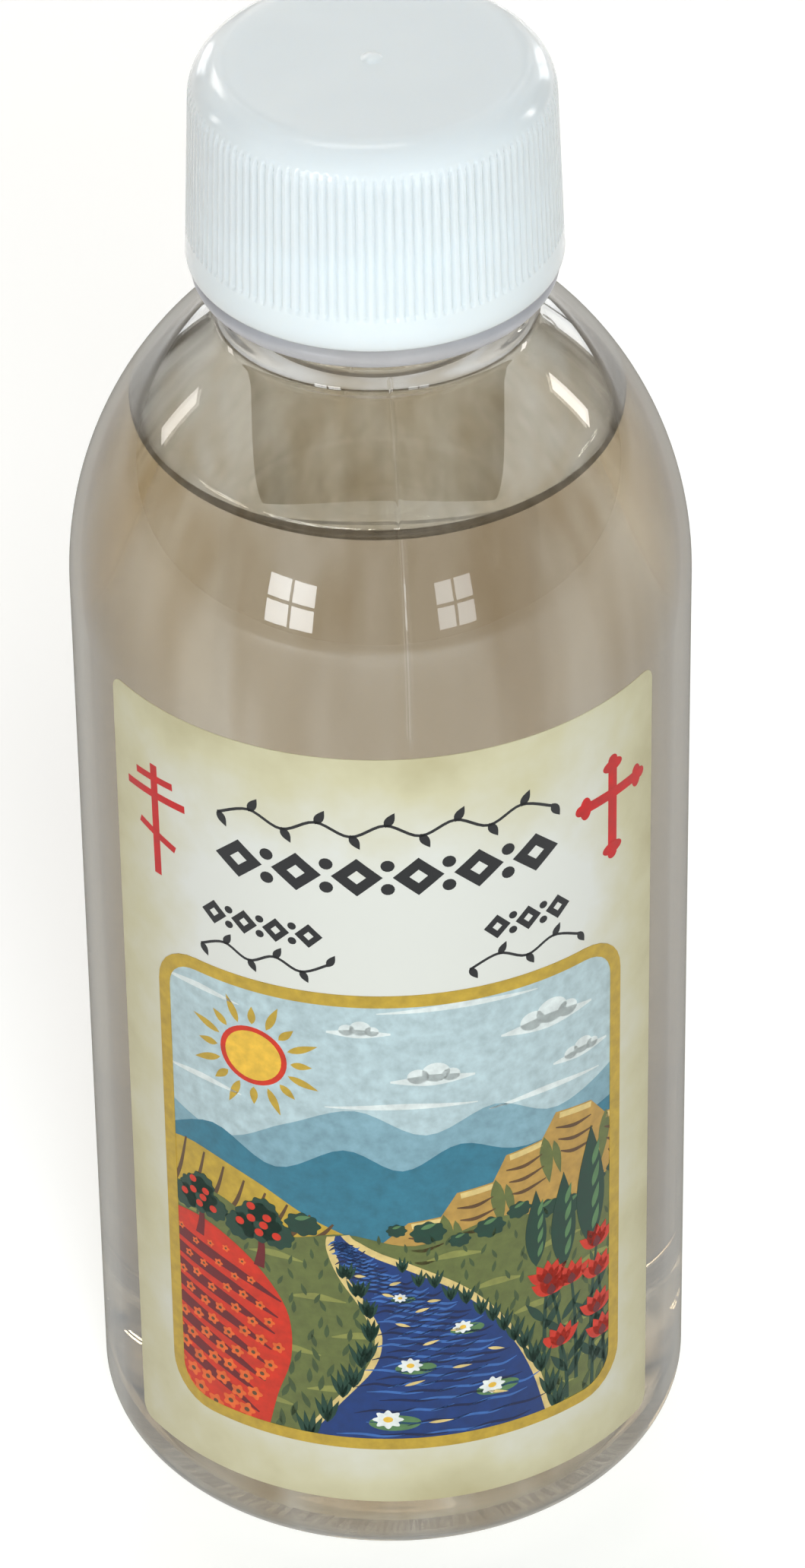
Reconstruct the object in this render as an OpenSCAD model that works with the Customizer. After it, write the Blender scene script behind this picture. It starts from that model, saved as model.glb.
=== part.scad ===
// Small clear bottle of blessed water with a white ribbed screw cap and a printed paper label.
// Millimetres, +Z up, the table at zero, the label faces -Y.

/* [Body] */
// Outside diameter of the straight body
body_diameter = 52; // [44:0.5:64]
// Height where the shoulder starts to curve in
shoulder_start = 88.7; // [70:0.1:120]
// Radius of the shoulder's curve
shoulder_radius = 33.7; // [26:0.1:50]
// Radius of the rounded heel
heel_radius = 3.4; // [2:0.1:5]
// Thickness of the body and shoulder wall
wall = 0.7; // [0.4:0.05:1.2]
// Thickness of the floor
floor_wall = 1; // [0.6:0.05:1.6]
// Width of the flat ring that the bottle stands on
foot_width = 3.6; // [2:0.1:6]
// Height of the hollow dome under the floor
push_up = 4; // [2:0.1:7]

/* [Neck] */
// Diameter of the bore through the neck
bore_diameter = 21.6; // [18:0.1:24]
// Thickness of the neck under the support ring
neck_wall = 2.1; // [1.5:0.05:3]
// Length of plain neck between the shoulder and the support ring
neck_height = 3.4; // [2.6:0.1:6]
// Radius of the curve from the shoulder into the neck, outside
throat_radius = 2; // [0.8:0.1:2.4]
// Radius of the curve from the shoulder into the bore, inside
inner_throat_radius = 3; // [1:0.1:5]
// How far the support ring stands out from the neck
ring_reach = 2.1; // [1.2:0.05:3]
// Thickness of the support ring
ring_thickness = 1.8; // [1.2:0.05:2.6]
// Thickness of the neck wall between the threads
finish_wall = 1.65; // [1.2:0.05:2.2]

/* [Thread] */
// Rise of the thread in one turn
thread_pitch = 4.233; // [3.6:0.001:5]
// Turns of thread on the neck
neck_thread_turns = 1.5; // [1:0.05:1.75]
// Turns of thread in the cap
cap_thread_turns = 1.25; // [1:0.05:1.5]
// How far a thread stands out from its wall
thread_depth = 1.05; // [0.8:0.05:1.2]
// Width of a thread at its crest
thread_crest = 0.9; // [0.6:0.05:1.1]
// Width of a thread where it leaves its wall
thread_root = 2.2; // [1.6:0.05:2.4]
// Distance from the mouth's rim down to the end of the neck thread's centre line
thread_drop = 3; // [2.4:0.1:4]
// Gap between a thread's crest and the wall that it faces
thread_gap = 0.3; // [0.2:0.05:0.5]
// Gap along the axis between the two threads' loaded sides
flank_gap = 0.35; // [0.25:0.05:0.6]
// How far a thread is sunk into its own wall
thread_sink = 0.4; // [0.3:0.05:0.6]
// Angle over which a thread rises out of its wall
thread_fade = 36; // [24:6:60]

/* [Cap] */
// Height of the cap without its gate mark
cap_height = 17.9; // [16:0.1:22]
// Thickness of the cap's skirt at its lower edge
skirt_wall = 1.6; // [1.3:0.05:2.4]
// How far the skirt leans in from its lower edge to the top
skirt_lean = 0.7; // [0.2:0.05:0.8]
// Radius of the rounded top edge
corner_radius = 3.25; // [1.5:0.05:3.6]
// Thickness of the cap's top
cap_top_wall = 1.6; // [1.2:0.05:2.4]
// Height of the smooth band under the ribs
band_height = 2.7; // [1.5:0.1:4]
// Number of grip ribs
rib_count = 120; // [60:10:140]
// Width of the groove between two ribs
groove_width = 0.5; // [0.3:0.02:0.56]
// Depth of the groove between two ribs
groove_depth = 0.3; // [0.15:0.01:0.35]
// Gap between the cap and the support ring
cap_gap = 0.3; // [0.2:0.05:1]
// Diameter of the gate mark at the top's centre
gate_diameter = 1.8; // [1:0.1:3]
// Height of the gate mark
gate_height = 0.3; // [0.2:0.05:0.5]

/* [Liner] */
// Thickness of the sealing liner
liner_thickness = 1; // [0.6:0.05:1.6]
// How much narrower the liner's seat is than the bore of the cap
seat_step = 0.6; // [0.4:0.05:0.8]
// How far the seat's wall reaches below the liner
seat_lip = 0.6; // [0.3:0.05:1]
// Gap round the liner's edge
liner_gap = 0.3; // [0.2:0.05:0.4]

/* [Label] */
// Width of the label round the body
label_width = 53; // [30:0.5:100]
// Distance from the label's upper edge to the start of the shoulder
label_top_gap = 0.4; // [0:0.1:10]
// Distance from the top of the heel to the label's lower edge
label_foot_gap = 3.3; // [0.5:0.1:15]
// Thickness of the label
label_thickness = 0.12; // [0.08:0.01:0.3]

/* [Water] */
// Height of the water over the start of the shoulder
fill_rise = 16.6; // [2:0.1:18]

/* [Hidden] */
$fn = 96;

// Sub-parts by name

// Overrun of a cut past the surface that it leaves
over = 1;
// Sections in one turn of a thread
thread_sections = 40;
// Share of the sink at which a fading thread ends below its wall
fade_floor = 0.5;
// How far a rib groove's cutter stands out of the skirt
groove_over = 0.1;

// Radii and centres that follow from the sizes above
body_r = body_diameter / 2;
bore_r = bore_diameter / 2;
neck_r = bore_r + neck_wall;
ring_r = neck_r + ring_reach;
finish_r = bore_r + finish_wall;
crest_r = finish_r + thread_depth;
shoulder_x = body_r - shoulder_radius;
inner_heel = heel_radius - wall;

// Heights from the table upwards
neck_base = shoulder_start + sqrt(pow(shoulder_radius, 2) - pow(neck_r - shoulder_x, 2));
ring_bottom = neck_base + neck_height;
ring_top = ring_bottom + ring_thickness;
cap_bottom = ring_top + cap_gap;
cap_top = cap_bottom + cap_height;
liner_top = cap_top - cap_top_wall;
rim = liner_top - liner_thickness;
water_level = shoulder_start + fill_rise;

// The dome under the floor is part of a ball
dome_r = body_r - heel_radius - foot_width;
dome_ball = (pow(dome_r, 2) + pow(push_up, 2)) / (2 * push_up);

// Inside of the cap
cap_bore_r = crest_r + thread_gap;
cap_crest_r = finish_r + thread_gap;
cap_thread_depth = cap_bore_r - cap_crest_r;
seat_r = cap_bore_r - seat_step;
liner_r = seat_r - liner_gap;

// Outside of the cap
skirt_r = cap_bore_r + skirt_wall;
lean = atan(skirt_lean / cap_height);
corner_x = skirt_r - (cap_height - corner_radius) * tan(lean) - corner_radius / cos(lean);
gate_ball = (pow(gate_diameter / 2, 2) + pow(gate_height, 2)) / (2 * gate_height);

// The two threads follow one helix, the cap's just under the neck's
flank = (thread_root - thread_crest) / 2 / thread_depth;
thread_offset = thread_crest + (crest_r - cap_crest_r) * flank + flank_gap;
neck_thread_end = rim - thread_drop;
neck_thread_start = neck_thread_end - neck_thread_turns * thread_pitch;
neck_thread_angle = 360 * neck_thread_turns;
cap_thread_end_angle = neck_thread_angle - 90;
cap_thread_start_angle = cap_thread_end_angle - 360 * cap_thread_turns;

// Part of a full thread that stands out, from its two ends
function rise(a, a0, a1) = min(1, (a - a0) / thread_fade, (a1 - a) / thread_fade);

// One section of a thread, from its inner edge outwards
function section(a, z, r_in, w_in, r_out, w_out) = [
    for (p = [[r_in, -w_in / 2], [r_out, -w_out / 2], [r_out, w_out / 2], [r_in, w_in / 2]])
        [p[0] * cos(a), p[0] * sin(a), z + p[1]]
];

// Height of the shared helix at an angle
function helix(a) = neck_thread_start + thread_pitch * a / 360;

// A thread from a list of sections with four corners each
module thread_solid(rings) {
    last = len(rings) - 1;
    sides = [
        for (i = [0 : last - 1], j = [0 : 3], half = [0, 1])
            let (k = (j + 1) % 4)
            half == 0
                ? [4 * i + j, 4 * i + k, 4 * i + 4 + k]
                : [4 * i + j, 4 * i + 4 + k, 4 * i + 4 + j]
    ];
    ends = [[2, 1, 0], [3, 2, 0], [4 * last, 4 * last + 1, 4 * last + 2], [4 * last, 4 * last + 2, 4 * last + 3]];
    polyhedron(points = [for (ring = rings) for (p = ring) p], faces = concat(sides, ends));
}

// Thread outside the neck
module neck_thread() {
    steps = round(thread_sections * neck_thread_turns);
    thread_solid([
        for (i = [0 : steps])
            let (
                a = neck_thread_angle * i / steps,
                e = rise(a, 0, neck_thread_angle),
                low = finish_r - thread_sink,
                top = finish_r - fade_floor * thread_sink,
                out = top + (crest_r - top) * e
            )
            section(a, helix(a), low, thread_root + 2 * thread_sink * flank,
                out, thread_crest + 2 * (crest_r - out) * flank)
    ]);
}

// Thread inside the cap
module cap_thread() {
    steps = round(thread_sections * cap_thread_turns);
    thread_solid([
        for (i = [0 : steps])
            let (
                a = cap_thread_start_angle + (cap_thread_end_angle - cap_thread_start_angle) * i / steps,
                e = rise(a, cap_thread_start_angle, cap_thread_end_angle),
                low = cap_bore_r + thread_sink,
                top = cap_bore_r + fade_floor * thread_sink,
                out = top + (cap_crest_r - top) * e
            )
            section(a, helix(a) - thread_offset, out, thread_crest + 2 * (out - cap_crest_r) * flank,
                low, thread_crest + 2 * (low - cap_crest_r) * flank)
    ]);
}

// Region under the shoulder's curve, up to a neck of the given radius
module shoulder_region(arc, tube, fillet) {
    top = shoulder_start + sqrt(pow(arc, 2) - pow(tube - shoulder_x, 2));
    centre = [tube + fillet, shoulder_start + sqrt(pow(arc + fillet, 2) - pow(tube + fillet - shoulder_x, 2))];
    touch = [
        shoulder_x + (centre[0] - shoulder_x) * arc / (arc + fillet),
        shoulder_start + (centre[1] - shoulder_start) * arc / (arc + fillet)
    ];
    intersection() {
        translate([shoulder_x, shoulder_start]) circle(r = arc);
        translate([0, shoulder_start]) square([body_r, top - shoulder_start]);
    }
    difference() {
        polygon([touch, centre, [tube - over, centre[1]], [tube - over, touch[1] - over]]);
        translate(centre) circle(r = fillet);
    }
}

// Half of the bottle's outline
module outer_profile() {
    difference() {
        union() {
            translate([0, heel_radius]) square([body_r, shoulder_start - heel_radius]);
            square([body_r - heel_radius, heel_radius]);
            translate([body_r - heel_radius, heel_radius]) circle(r = heel_radius);
            shoulder_region(shoulder_radius, neck_r, throat_radius);
            translate([0, shoulder_start]) square([neck_r, ring_top - shoulder_start]);
            translate([0, ring_bottom]) square([ring_r - ring_thickness / 2, ring_thickness]);
            translate([ring_r - ring_thickness / 2, ring_bottom + ring_thickness / 2]) circle(d = ring_thickness);
            translate([0, ring_bottom]) square([finish_r, rim - ring_bottom]);
        }
        translate([0, push_up - dome_ball]) circle(r = dome_ball);
    }
}

// Half of the hollow inside the bottle
module hollow_profile() {
    difference() {
        union() {
            translate([0, floor_wall + inner_heel])
                square([body_r - wall, shoulder_start - floor_wall - inner_heel]);
            translate([0, floor_wall]) square([body_r - wall - inner_heel, inner_heel]);
            translate([body_r - wall - inner_heel, floor_wall + inner_heel]) circle(r = inner_heel);
            shoulder_region(shoulder_radius - wall, bore_r, inner_throat_radius);
            translate([0, shoulder_start]) square([bore_r, rim + over - shoulder_start]);
        }
        translate([0, push_up - dome_ball]) circle(r = dome_ball + floor_wall);
    }
}

// Clear blown bottle with its threaded neck
module bottle() {
    color([0.86, 0.89, 0.9, 0.35])
    union() {
        rotate_extrude() difference() {
            outer_profile();
            hollow_profile();
        }
        neck_thread();
    }
}

// Water inside the bottle, up to the fill level
module water() {
    color([0.82, 0.88, 0.9, 0.5])
    rotate_extrude() intersection() {
        hollow_profile();
        square([body_r, water_level]);
    }
}

// Paper label stuck on the front of the body
module label() {
    sweep = label_width / body_r * 180 / PI;
    foot = heel_radius + label_foot_gap;
    color([0.95, 0.93, 0.86])
    rotate([0, 0, 270 - sweep / 2])
    rotate_extrude(angle = sweep)
        translate([body_r, foot]) square([label_thickness, shoulder_start - label_top_gap - foot]);
}

// Half of the cap's outline, with the gate mark on top
module cap_profile() {
    centre = [corner_x, cap_height - corner_radius];
    polygon([
        [0, 0],
        [skirt_r, 0],
        [centre[0] + corner_radius * cos(lean), centre[1] + corner_radius * sin(lean)],
        centre,
        [0, centre[1]]
    ]);
    square([corner_x, cap_height]);
    translate(centre) circle(r = corner_radius);
    intersection() {
        translate([0, cap_height + gate_height - gate_ball]) circle(r = gate_ball);
        translate([0, cap_height - over]) square([gate_diameter, over + gate_height]);
    }
}

// Half of the room inside the cap
module cap_room() {
    translate([0, -over]) square([cap_bore_r, rim - seat_lip - cap_bottom + over]);
    square([seat_r, liner_top - cap_bottom]);
}

// The grooves between the grip ribs, along the leaning skirt
module rib_grooves() {
    half = groove_width / 2 * (groove_depth + groove_over) / groove_depth;
    for (i = [0 : rib_count - 1])
        rotate([0, 0, 360 * i / rib_count])
        translate([skirt_r - band_height * tan(lean), 0, cap_bottom + band_height])
        rotate([0, -lean, 0])
        linear_extrude(height = cap_height)
            polygon([[-groove_depth, 0], [groove_over, -half], [groove_over, half]]);
}

// White screw cap
module cap() {
    color([0.92, 0.94, 0.96])
    union() {
        difference() {
            translate([0, 0, cap_bottom]) rotate_extrude() difference() {
                cap_profile();
                cap_room();
            }
            rib_grooves();
        }
        cap_thread();
    }
}

// Foam sealing liner pressed on the mouth's rim
module cap_liner() {
    color([0.96, 0.96, 0.94])
    translate([0, 0, rim]) cylinder(r = liner_r, h = liner_thickness);
}

bottle();
water();
label();
cap();
cap_liner();
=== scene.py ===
"""Looks of a small clear bottle of blessed water: shell, water, printed label, ribbed screw cap and liner.

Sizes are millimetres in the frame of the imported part: +Z up, the table at zero, the label faces -Y.
"""

import logging
import math
from dataclasses import dataclass, field
from enum import Enum
from typing import Callable, Iterator, Optional, Sequence

import bmesh
import bpy
from mathutils import Matrix, Vector
from mathutils.geometry import tessellate_polygon

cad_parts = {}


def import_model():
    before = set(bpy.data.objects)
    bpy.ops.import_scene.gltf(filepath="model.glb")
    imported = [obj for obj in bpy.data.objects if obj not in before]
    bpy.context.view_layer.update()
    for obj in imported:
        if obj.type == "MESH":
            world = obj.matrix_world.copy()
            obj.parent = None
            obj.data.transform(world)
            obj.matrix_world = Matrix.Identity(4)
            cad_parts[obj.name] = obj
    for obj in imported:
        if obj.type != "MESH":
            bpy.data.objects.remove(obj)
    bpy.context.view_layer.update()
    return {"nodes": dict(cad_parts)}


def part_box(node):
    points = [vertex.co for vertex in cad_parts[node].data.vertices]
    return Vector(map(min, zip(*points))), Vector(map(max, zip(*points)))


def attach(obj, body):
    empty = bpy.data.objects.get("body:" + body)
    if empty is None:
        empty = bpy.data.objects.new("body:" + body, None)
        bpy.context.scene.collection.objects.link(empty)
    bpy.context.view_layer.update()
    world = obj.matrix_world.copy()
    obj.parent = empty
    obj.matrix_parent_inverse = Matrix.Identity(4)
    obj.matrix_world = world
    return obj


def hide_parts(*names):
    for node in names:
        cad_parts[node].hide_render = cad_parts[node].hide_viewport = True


LOG = logging.getLogger("holy_water_bottle")
MM = 0.001
SHARP_ANGLE = math.radians(35)
PET_IOR = 1.57
WATER_IOR = 1.333
CLEAR = (1.0, 1.0, 1.0, 1.0)

Point = tuple[float, float]
Triple = tuple[float, float, float]
Tint = tuple[float, float, float, float]
ScreenColour = tuple[int, int, int]
Socket = bpy.types.NodeSocket
Loop = list[Point]
Shift = Callable[[int, float, float, float], float]


class Body(Enum):
    """Bodies of the part that a piece can move with."""

    BOTTLE = "bottle"
    LINER = "liner"
    CAP = "cap"


class Slot(Enum):
    """Material slots of the part's record."""

    CLEAR_PET = "clear_pet"
    WATER = "water"
    LABEL_PAPER = "label_paper"
    WHITE_CAP = "white_cap"


class Wall(Enum):
    """Zones of the bottle's wall, in the order of its material slots."""

    OUTER = 0
    DRY = 1
    WET = 2
    RING = 3


class InkColour(Enum):
    """Printing inks on the label, as screen colours."""

    CROSS_RED = (190, 20, 22)
    BLACK = (26, 26, 28)
    GOLD = (184, 152, 56)
    SKY = (176, 194, 198)
    CLOUD = (214, 220, 218)
    MIST = (126, 160, 172)
    TEAL = (52, 112, 132)
    OCHRE = (178, 140, 72)
    PALE_OCHRE = (214, 188, 124)
    BROWN = (88, 62, 36)
    OLIVE = (96, 104, 56)
    MOSS = (62, 78, 46)
    FERN = (132, 134, 72)
    RIVER = (22, 52, 108)
    RIPPLE = (58, 100, 164)
    DEPTH = (10, 26, 66)
    VERMILION = (200, 48, 28)
    ORANGE = (222, 100, 44)
    MAROON = (100, 20, 26)
    LEAF = (20, 56, 42)
    SAGE = (84, 120, 78)
    LILY = (226, 228, 224)
    SUN = (228, 182, 66)


def linear(colour: Sequence[int]) -> Tint:
    """Turns a screen colour into the linear one that shaders take.

    Args:
        colour: red, green and blue from 0 to 255.

    Returns:
        Linear red, green and blue, with an alpha of one.
    """
    channels = []
    for byte in colour:
        share = byte / 255
        channels.append(share / 12.92 if share <= 0.04045 else ((share + 0.055) / 1.055) ** 2.4)
    return channels[0], channels[1], channels[2], 1.0


class NodeSheet:
    """Node tree, with short calls that add and join its nodes."""

    def __init__(self, tree: bpy.types.NodeTree) -> None:
        """Takes the tree that the nodes go into."""
        self.tree = tree

    def add(self, kind: str, inputs: Optional[dict] = None, **properties: object) -> bpy.types.Node:
        """Adds a node.

        Args:
            kind: Blender's name of the node type.
            inputs: values for sockets, by socket name or number.
            properties: settings of the node itself.

        Returns:
            The new node.
        """
        node = self.tree.nodes.new(kind)
        for name, value in properties.items():
            setattr(node, name, value)
        for socket, value in (inputs or {}).items():
            node.inputs[socket].default_value = value
        return node

    def join(self, source: Socket, target: Socket) -> None:
        """Joins an output socket to an input socket."""
        self.tree.links.new(source, target)

    def ramp(self, share: Socket, stops: Sequence[tuple[float, Sequence[float]]]) -> Socket:
        """Adds a colour ramp.

        Args:
            share: the strength that picks the colour.
            stops: places from 0 to 1, each with its linear colour.

        Returns:
            The picked colour.
        """
        node = self.add("ShaderNodeValToRGB")
        elements = node.color_ramp.elements
        while len(elements) < len(stops):
            elements.new(0.5)
        for element, (position, colour) in zip(elements, stops):
            element.position = position
            element.color = colour
        self.join(share, node.inputs["Fac"])
        return node.outputs["Color"]

    def spread(self, share: Socket, low: float, high: float, limits: Point = (0.0, 1.0)) -> Socket:
        """Maps a strength between the limits onto the range from low to high."""
        ends = {"From Min": limits[0], "From Max": limits[1], "To Min": low, "To Max": high}
        node = self.add("ShaderNodeMapRange", ends)
        self.join(share, node.inputs["Value"])
        return node.outputs["Result"]

    def axis(self, vector: Socket, letter: str) -> Socket:
        """Picks one axis of a vector."""
        node = self.add("ShaderNodeSeparateXYZ")
        self.join(vector, node.inputs["Vector"])
        return node.outputs[letter]

    def greater(self, first: Socket, second: Socket) -> Socket:
        """Picks the greater of two strengths."""
        node = self.add("ShaderNodeMath", operation="MAXIMUM")
        self.join(first, node.inputs[0])
        self.join(second, node.inputs[1])
        return node.outputs["Value"]

    def blend(self, share: Socket, first: Socket, second: Socket) -> Socket:
        """Mixes two shaders by a strength, from the first at 0 to the second at 1."""
        node = self.add("ShaderNodeMixShader")
        self.join(share, node.inputs["Fac"])
        self.join(first, node.inputs[1])
        self.join(second, node.inputs[2])
        return node.outputs["Shader"]


class ShaderSheet(NodeSheet):
    """Node tree of one material."""

    DEEPEST_BEND = 4.5
    NOISE_ROUGHNESS = 0.55

    def __init__(self, name: str) -> None:
        """Starts an empty material of that name."""
        self.material = bpy.data.materials.new(name)
        self.material.use_nodes = True
        super().__init__(self.material.node_tree)
        self.tree.nodes.clear()
        self.output = self.add("ShaderNodeOutputMaterial")

    def noise(self, scale: float, detail: float = 3.0, stretch: Triple = (1.0, 1.0, 1.0)) -> Socket:
        """Adds a noise pattern in the object's own metres.

        Args:
            scale: spots in a metre.
            detail: how many finer layers it has.
            stretch: factors along the three axes.

        Returns:
            The pattern's strength, from 0 to 1.
        """
        place = self.add("ShaderNodeTexCoord")
        mapping = self.add("ShaderNodeMapping", {"Scale": stretch})
        settings = {"Scale": scale, "Detail": detail, "Roughness": self.NOISE_ROUGHNESS}
        pattern = self.add("ShaderNodeTexNoise", settings)
        self.join(place.outputs["Object"], mapping.inputs["Vector"])
        self.join(mapping.outputs["Vector"], pattern.inputs["Vector"])
        return pattern.outputs["Fac"]

    def bump(self, height: Socket, strength: float, depth: float) -> Socket:
        """Adds a bump of that depth, in millimetres, and returns its normal."""
        node = self.add("ShaderNodeBump", {"Strength": strength, "Distance": depth * MM})
        self.join(height, node.inputs["Height"])
        return node.outputs["Normal"]

    def principled(self, **values: object) -> bpy.types.Node:
        """Adds the main shader, with socket names written with underscores."""
        inputs = {name.replace("_", " "): value for name, value in values.items()}
        return self.add("ShaderNodeBsdfPrincipled", inputs)

    def straight(self, tint: Tint) -> Socket:
        """Adds a shader that lets rays pass without bending, tinted."""
        return self.add("ShaderNodeBsdfTransparent", {"Color": tint}).outputs["BSDF"]

    def let_lamps_through(self, surface: Socket, tint: Tint) -> Socket:
        """Lets lamplight, scattered light and often-bent rays pass a clear surface without bending.

        Args:
            surface: the clear surface as it is seen.
            tint: linear colour of the light that passes.

        Returns:
            The mixed shader.
        """
        path = self.add("ShaderNodeLightPath")
        deep = self.add("ShaderNodeMath", {1: self.DEEPEST_BEND}, operation="GREATER_THAN")
        self.join(path.outputs["Ray Depth"], deep.inputs[0])
        scattered = self.greater(path.outputs["Is Shadow Ray"], path.outputs["Is Diffuse Ray"])
        passing = self.greater(scattered, deep.outputs["Value"])
        return self.blend(passing, surface, self.straight(tint))

    def finish(self, surface: Socket) -> bpy.types.Material:
        """Puts the surface on the output and returns the material."""
        self.join(surface, self.output.inputs["Surface"])
        return self.material


@dataclass(frozen=True)
class ClearPet:
    """Blown clear plastic with the faint ripple of a mould."""

    name: str
    tint: Tint = (0.97, 0.968, 0.96, 1.0)
    slant_path_and_shade_tint: Tint = (0.6, 0.59, 0.56, 1.0)
    slant: Point = (0.3, 0.72)
    streak: Tint = (0.82, 0.76, 0.66, 1.0)
    streak_grain: float = 150.0
    smear_grain: float = 90.0
    ripple_grain: float = 75.0
    ripple_depth: float = 0.03
    painted_rim_shade: Tint = (0.3, 0.275, 0.22, 1.0)
    painted_rim_shade_share: float = 0.0
    painted_rim_shade_slant: Point = (0.75, 0.95)
    lamplight: Tint = (0.95, 0.95, 0.94, 1.0)
    ior: float = PET_IOR

    def material(self) -> bpy.types.Material:
        """Builds the shader: clear, slightly wavy, and darker where the wall is seen on a slant, partly for
        the longer path and partly as painted shade, with optional painted shade at the silhouettes.
        """
        sheet = ShaderSheet(self.name)
        clear = sheet.principled(Transmission_Weight=1.0, IOR=self.ior)
        # Darker towards a slant view: partly the longer path through the wall, partly painted shade at the
        # silhouettes.
        facing = sheet.add("ShaderNodeLayerWeight", {"Blend": 0.5}).outputs["Facing"]
        slant_path_and_shade = sheet.ramp(facing, list(zip(self.slant, (self.tint, self.slant_path_and_shade_tint))))
        streaks = sheet.noise(self.streak_grain, 2, (1.0, 1.0, 0.06))
        streaky = sheet.ramp(streaks, [(0.38, self.streak), (0.58, CLEAR)])
        thick = sheet.add("ShaderNodeMix", {"Factor": 1.0}, data_type="RGBA", blend_type="MULTIPLY")
        sheet.join(slant_path_and_shade, thick.inputs["A"])
        sheet.join(streaky, thick.inputs["B"])
        sheet.join(thick.outputs["Result"], clear.inputs["Base Color"])
        smear = sheet.noise(self.smear_grain, 2, (1.0, 1.0, 0.35))
        sheet.join(sheet.spread(smear, 0.0, 0.03), clear.inputs["Roughness"])
        ripple = sheet.noise(self.ripple_grain, 1.5, (1.0, 1.0, 0.3))
        sheet.join(sheet.bump(ripple, 0.5, self.ripple_depth), clear.inputs["Normal"])
        wall = clear.outputs["BSDF"]
        # Painted shade: a dark pass mixed in at the silhouettes, where the wall is seen edge-on.
        if self.painted_rim_shade_share:
            rim = sheet.spread(facing, 0.0, self.painted_rim_shade_share, self.painted_rim_shade_slant)
            wall = sheet.blend(rim, wall, sheet.straight(self.painted_rim_shade))
        return sheet.finish(sheet.let_lamps_through(wall, self.lamplight))


@dataclass(frozen=True)
class MilkyPet:
    """Thick plastic of the support ring, part clear and part whitish, finely clouded."""

    name: str = "milky_pet_ring"
    colour: ScreenColour = (204, 203, 210)
    dullness: float = 0.88
    cloud_grain: float = 260.0
    clear_share: float = 0.45
    lamplight: Tint = (0.6, 0.6, 0.6, 1.0)
    ior: float = PET_IOR

    def material(self) -> bpy.types.Material:
        """Builds the shader: part clear, part white, and finely clouded."""
        sheet = ShaderSheet(self.name)
        milky = sheet.principled(Transmission_Weight=self.clear_share, IOR=self.ior)
        clouds = sheet.noise(self.cloud_grain, 3)
        bright = linear(self.colour)
        dull = tuple(channel * self.dullness for channel in bright[:3]) + (1.0,)
        sheet.join(sheet.ramp(clouds, [(0.35, dull), (0.65, bright)]), milky.inputs["Base Color"])
        sheet.join(sheet.spread(clouds, 0.28, 0.42), milky.inputs["Roughness"])
        return sheet.finish(sheet.let_lamps_through(milky.outputs["BSDF"], self.lamplight))


@dataclass(frozen=True)
class StillWater:
    """Water whose sides only carry its faint tint, and whose open surface mirrors and bends, with painted
    shade where it climbs the wall.
    """

    name: str = "still_water"
    ior: float = WATER_IOR
    tint: Tint = (0.55, 0.42, 0.20, 1.0)
    density: float = 3.0
    painted_rim_shade: Tint = (0.17, 0.145, 0.11, 1.0)
    painted_rim_shade_share: float = 0.75
    rim_shade_range: Point = (0.72, 0.96)
    swell_grain: float = 45.0

    def material(self) -> bpy.types.Material:
        """Builds the shader, with the open surface picked by a mesh attribute and painted shade on its rim
        where it climbs the wall.
        """
        sheet = ShaderSheet(self.name)
        surface = sheet.principled(Base_Color=CLEAR, Transmission_Weight=1.0, IOR=self.ior, Roughness=0.0)
        # Painted shade: a dark pass mixed into the open surface where its rim climbs steeply at the wall.
        normal = sheet.add("ShaderNodeNewGeometry").outputs["Normal"]
        rim_shade_mask = sheet.spread(sheet.axis(normal, "Z"), self.painted_rim_shade_share, 0.0, self.rim_shade_range)
        shaded_rim = sheet.blend(rim_shade_mask, surface.outputs["BSDF"], sheet.straight(self.painted_rim_shade))
        swell = sheet.noise(self.swell_grain, 1)
        sheet.join(sheet.bump(swell, 0.2, 0.02), surface.inputs["Normal"])
        is_open = sheet.add("ShaderNodeAttribute", attribute_name=Water.OPEN_SURFACE).outputs["Fac"]
        whole = sheet.blend(is_open, sheet.straight(CLEAR), sheet.let_lamps_through(shaded_rim, CLEAR))
        tint = sheet.add("ShaderNodeVolumeAbsorption", {"Color": self.tint, "Density": self.density})
        sheet.join(tint.outputs["Volume"], sheet.output.inputs["Volume"])
        return sheet.finish(whole)


@dataclass(frozen=True)
class AgedPaper:
    """Cream label paper, mottled and darker towards its edges, partly from yellowing and partly as painted
    shade.
    """

    name: str = "aged_paper"
    centre: ScreenColour = (218, 217, 210)
    edge: ScreenColour = (203, 196, 163)
    stain_and_shade: ScreenColour = (182, 172, 134)
    cloud_grain: float = 110.0
    wander: float = 0.22
    fibre_grain: float = 2600.0

    def material(self) -> bpy.types.Material:
        """Builds the shader from fibre noise and the distance to the sheet's edges."""
        sheet = ShaderSheet(self.name)
        paper = sheet.principled(Specular_IOR_Level=0.35)
        place = sheet.add("ShaderNodeTexCoord").outputs["Generated"]
        sides = []
        for letter in "XZ":
            middle = sheet.add("ShaderNodeMath", {1: 0.5}, operation="SUBTRACT")
            away = sheet.add("ShaderNodeMath", operation="ABSOLUTE")
            sheet.join(sheet.axis(place, letter), middle.inputs[0])
            sheet.join(middle.outputs["Value"], away.inputs[0])
            sides.append(away.outputs["Value"])
        # Darker towards all four edges: partly yellowing of the paper, partly painted shade.
        cloudy = sheet.add("ShaderNodeMath", {1: self.wander}, operation="MULTIPLY_ADD")
        sheet.join(sheet.noise(self.cloud_grain, 4), cloudy.inputs[0])
        sheet.join(sheet.greater(*sides), cloudy.inputs[2])
        stops = [(0.47, linear(self.centre)), (0.58, linear(self.edge)), (0.66, linear(self.stain_and_shade))]
        sheet.join(sheet.ramp(cloudy.outputs["Value"], stops), paper.inputs["Base Color"])
        fibre = sheet.noise(self.fibre_grain, 3)
        sheet.join(sheet.spread(fibre, 0.42, 0.6), paper.inputs["Roughness"])
        sheet.join(sheet.bump(fibre, 0.25, 0.01), paper.inputs["Normal"])
        return sheet.finish(paper.outputs["BSDF"])


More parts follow.
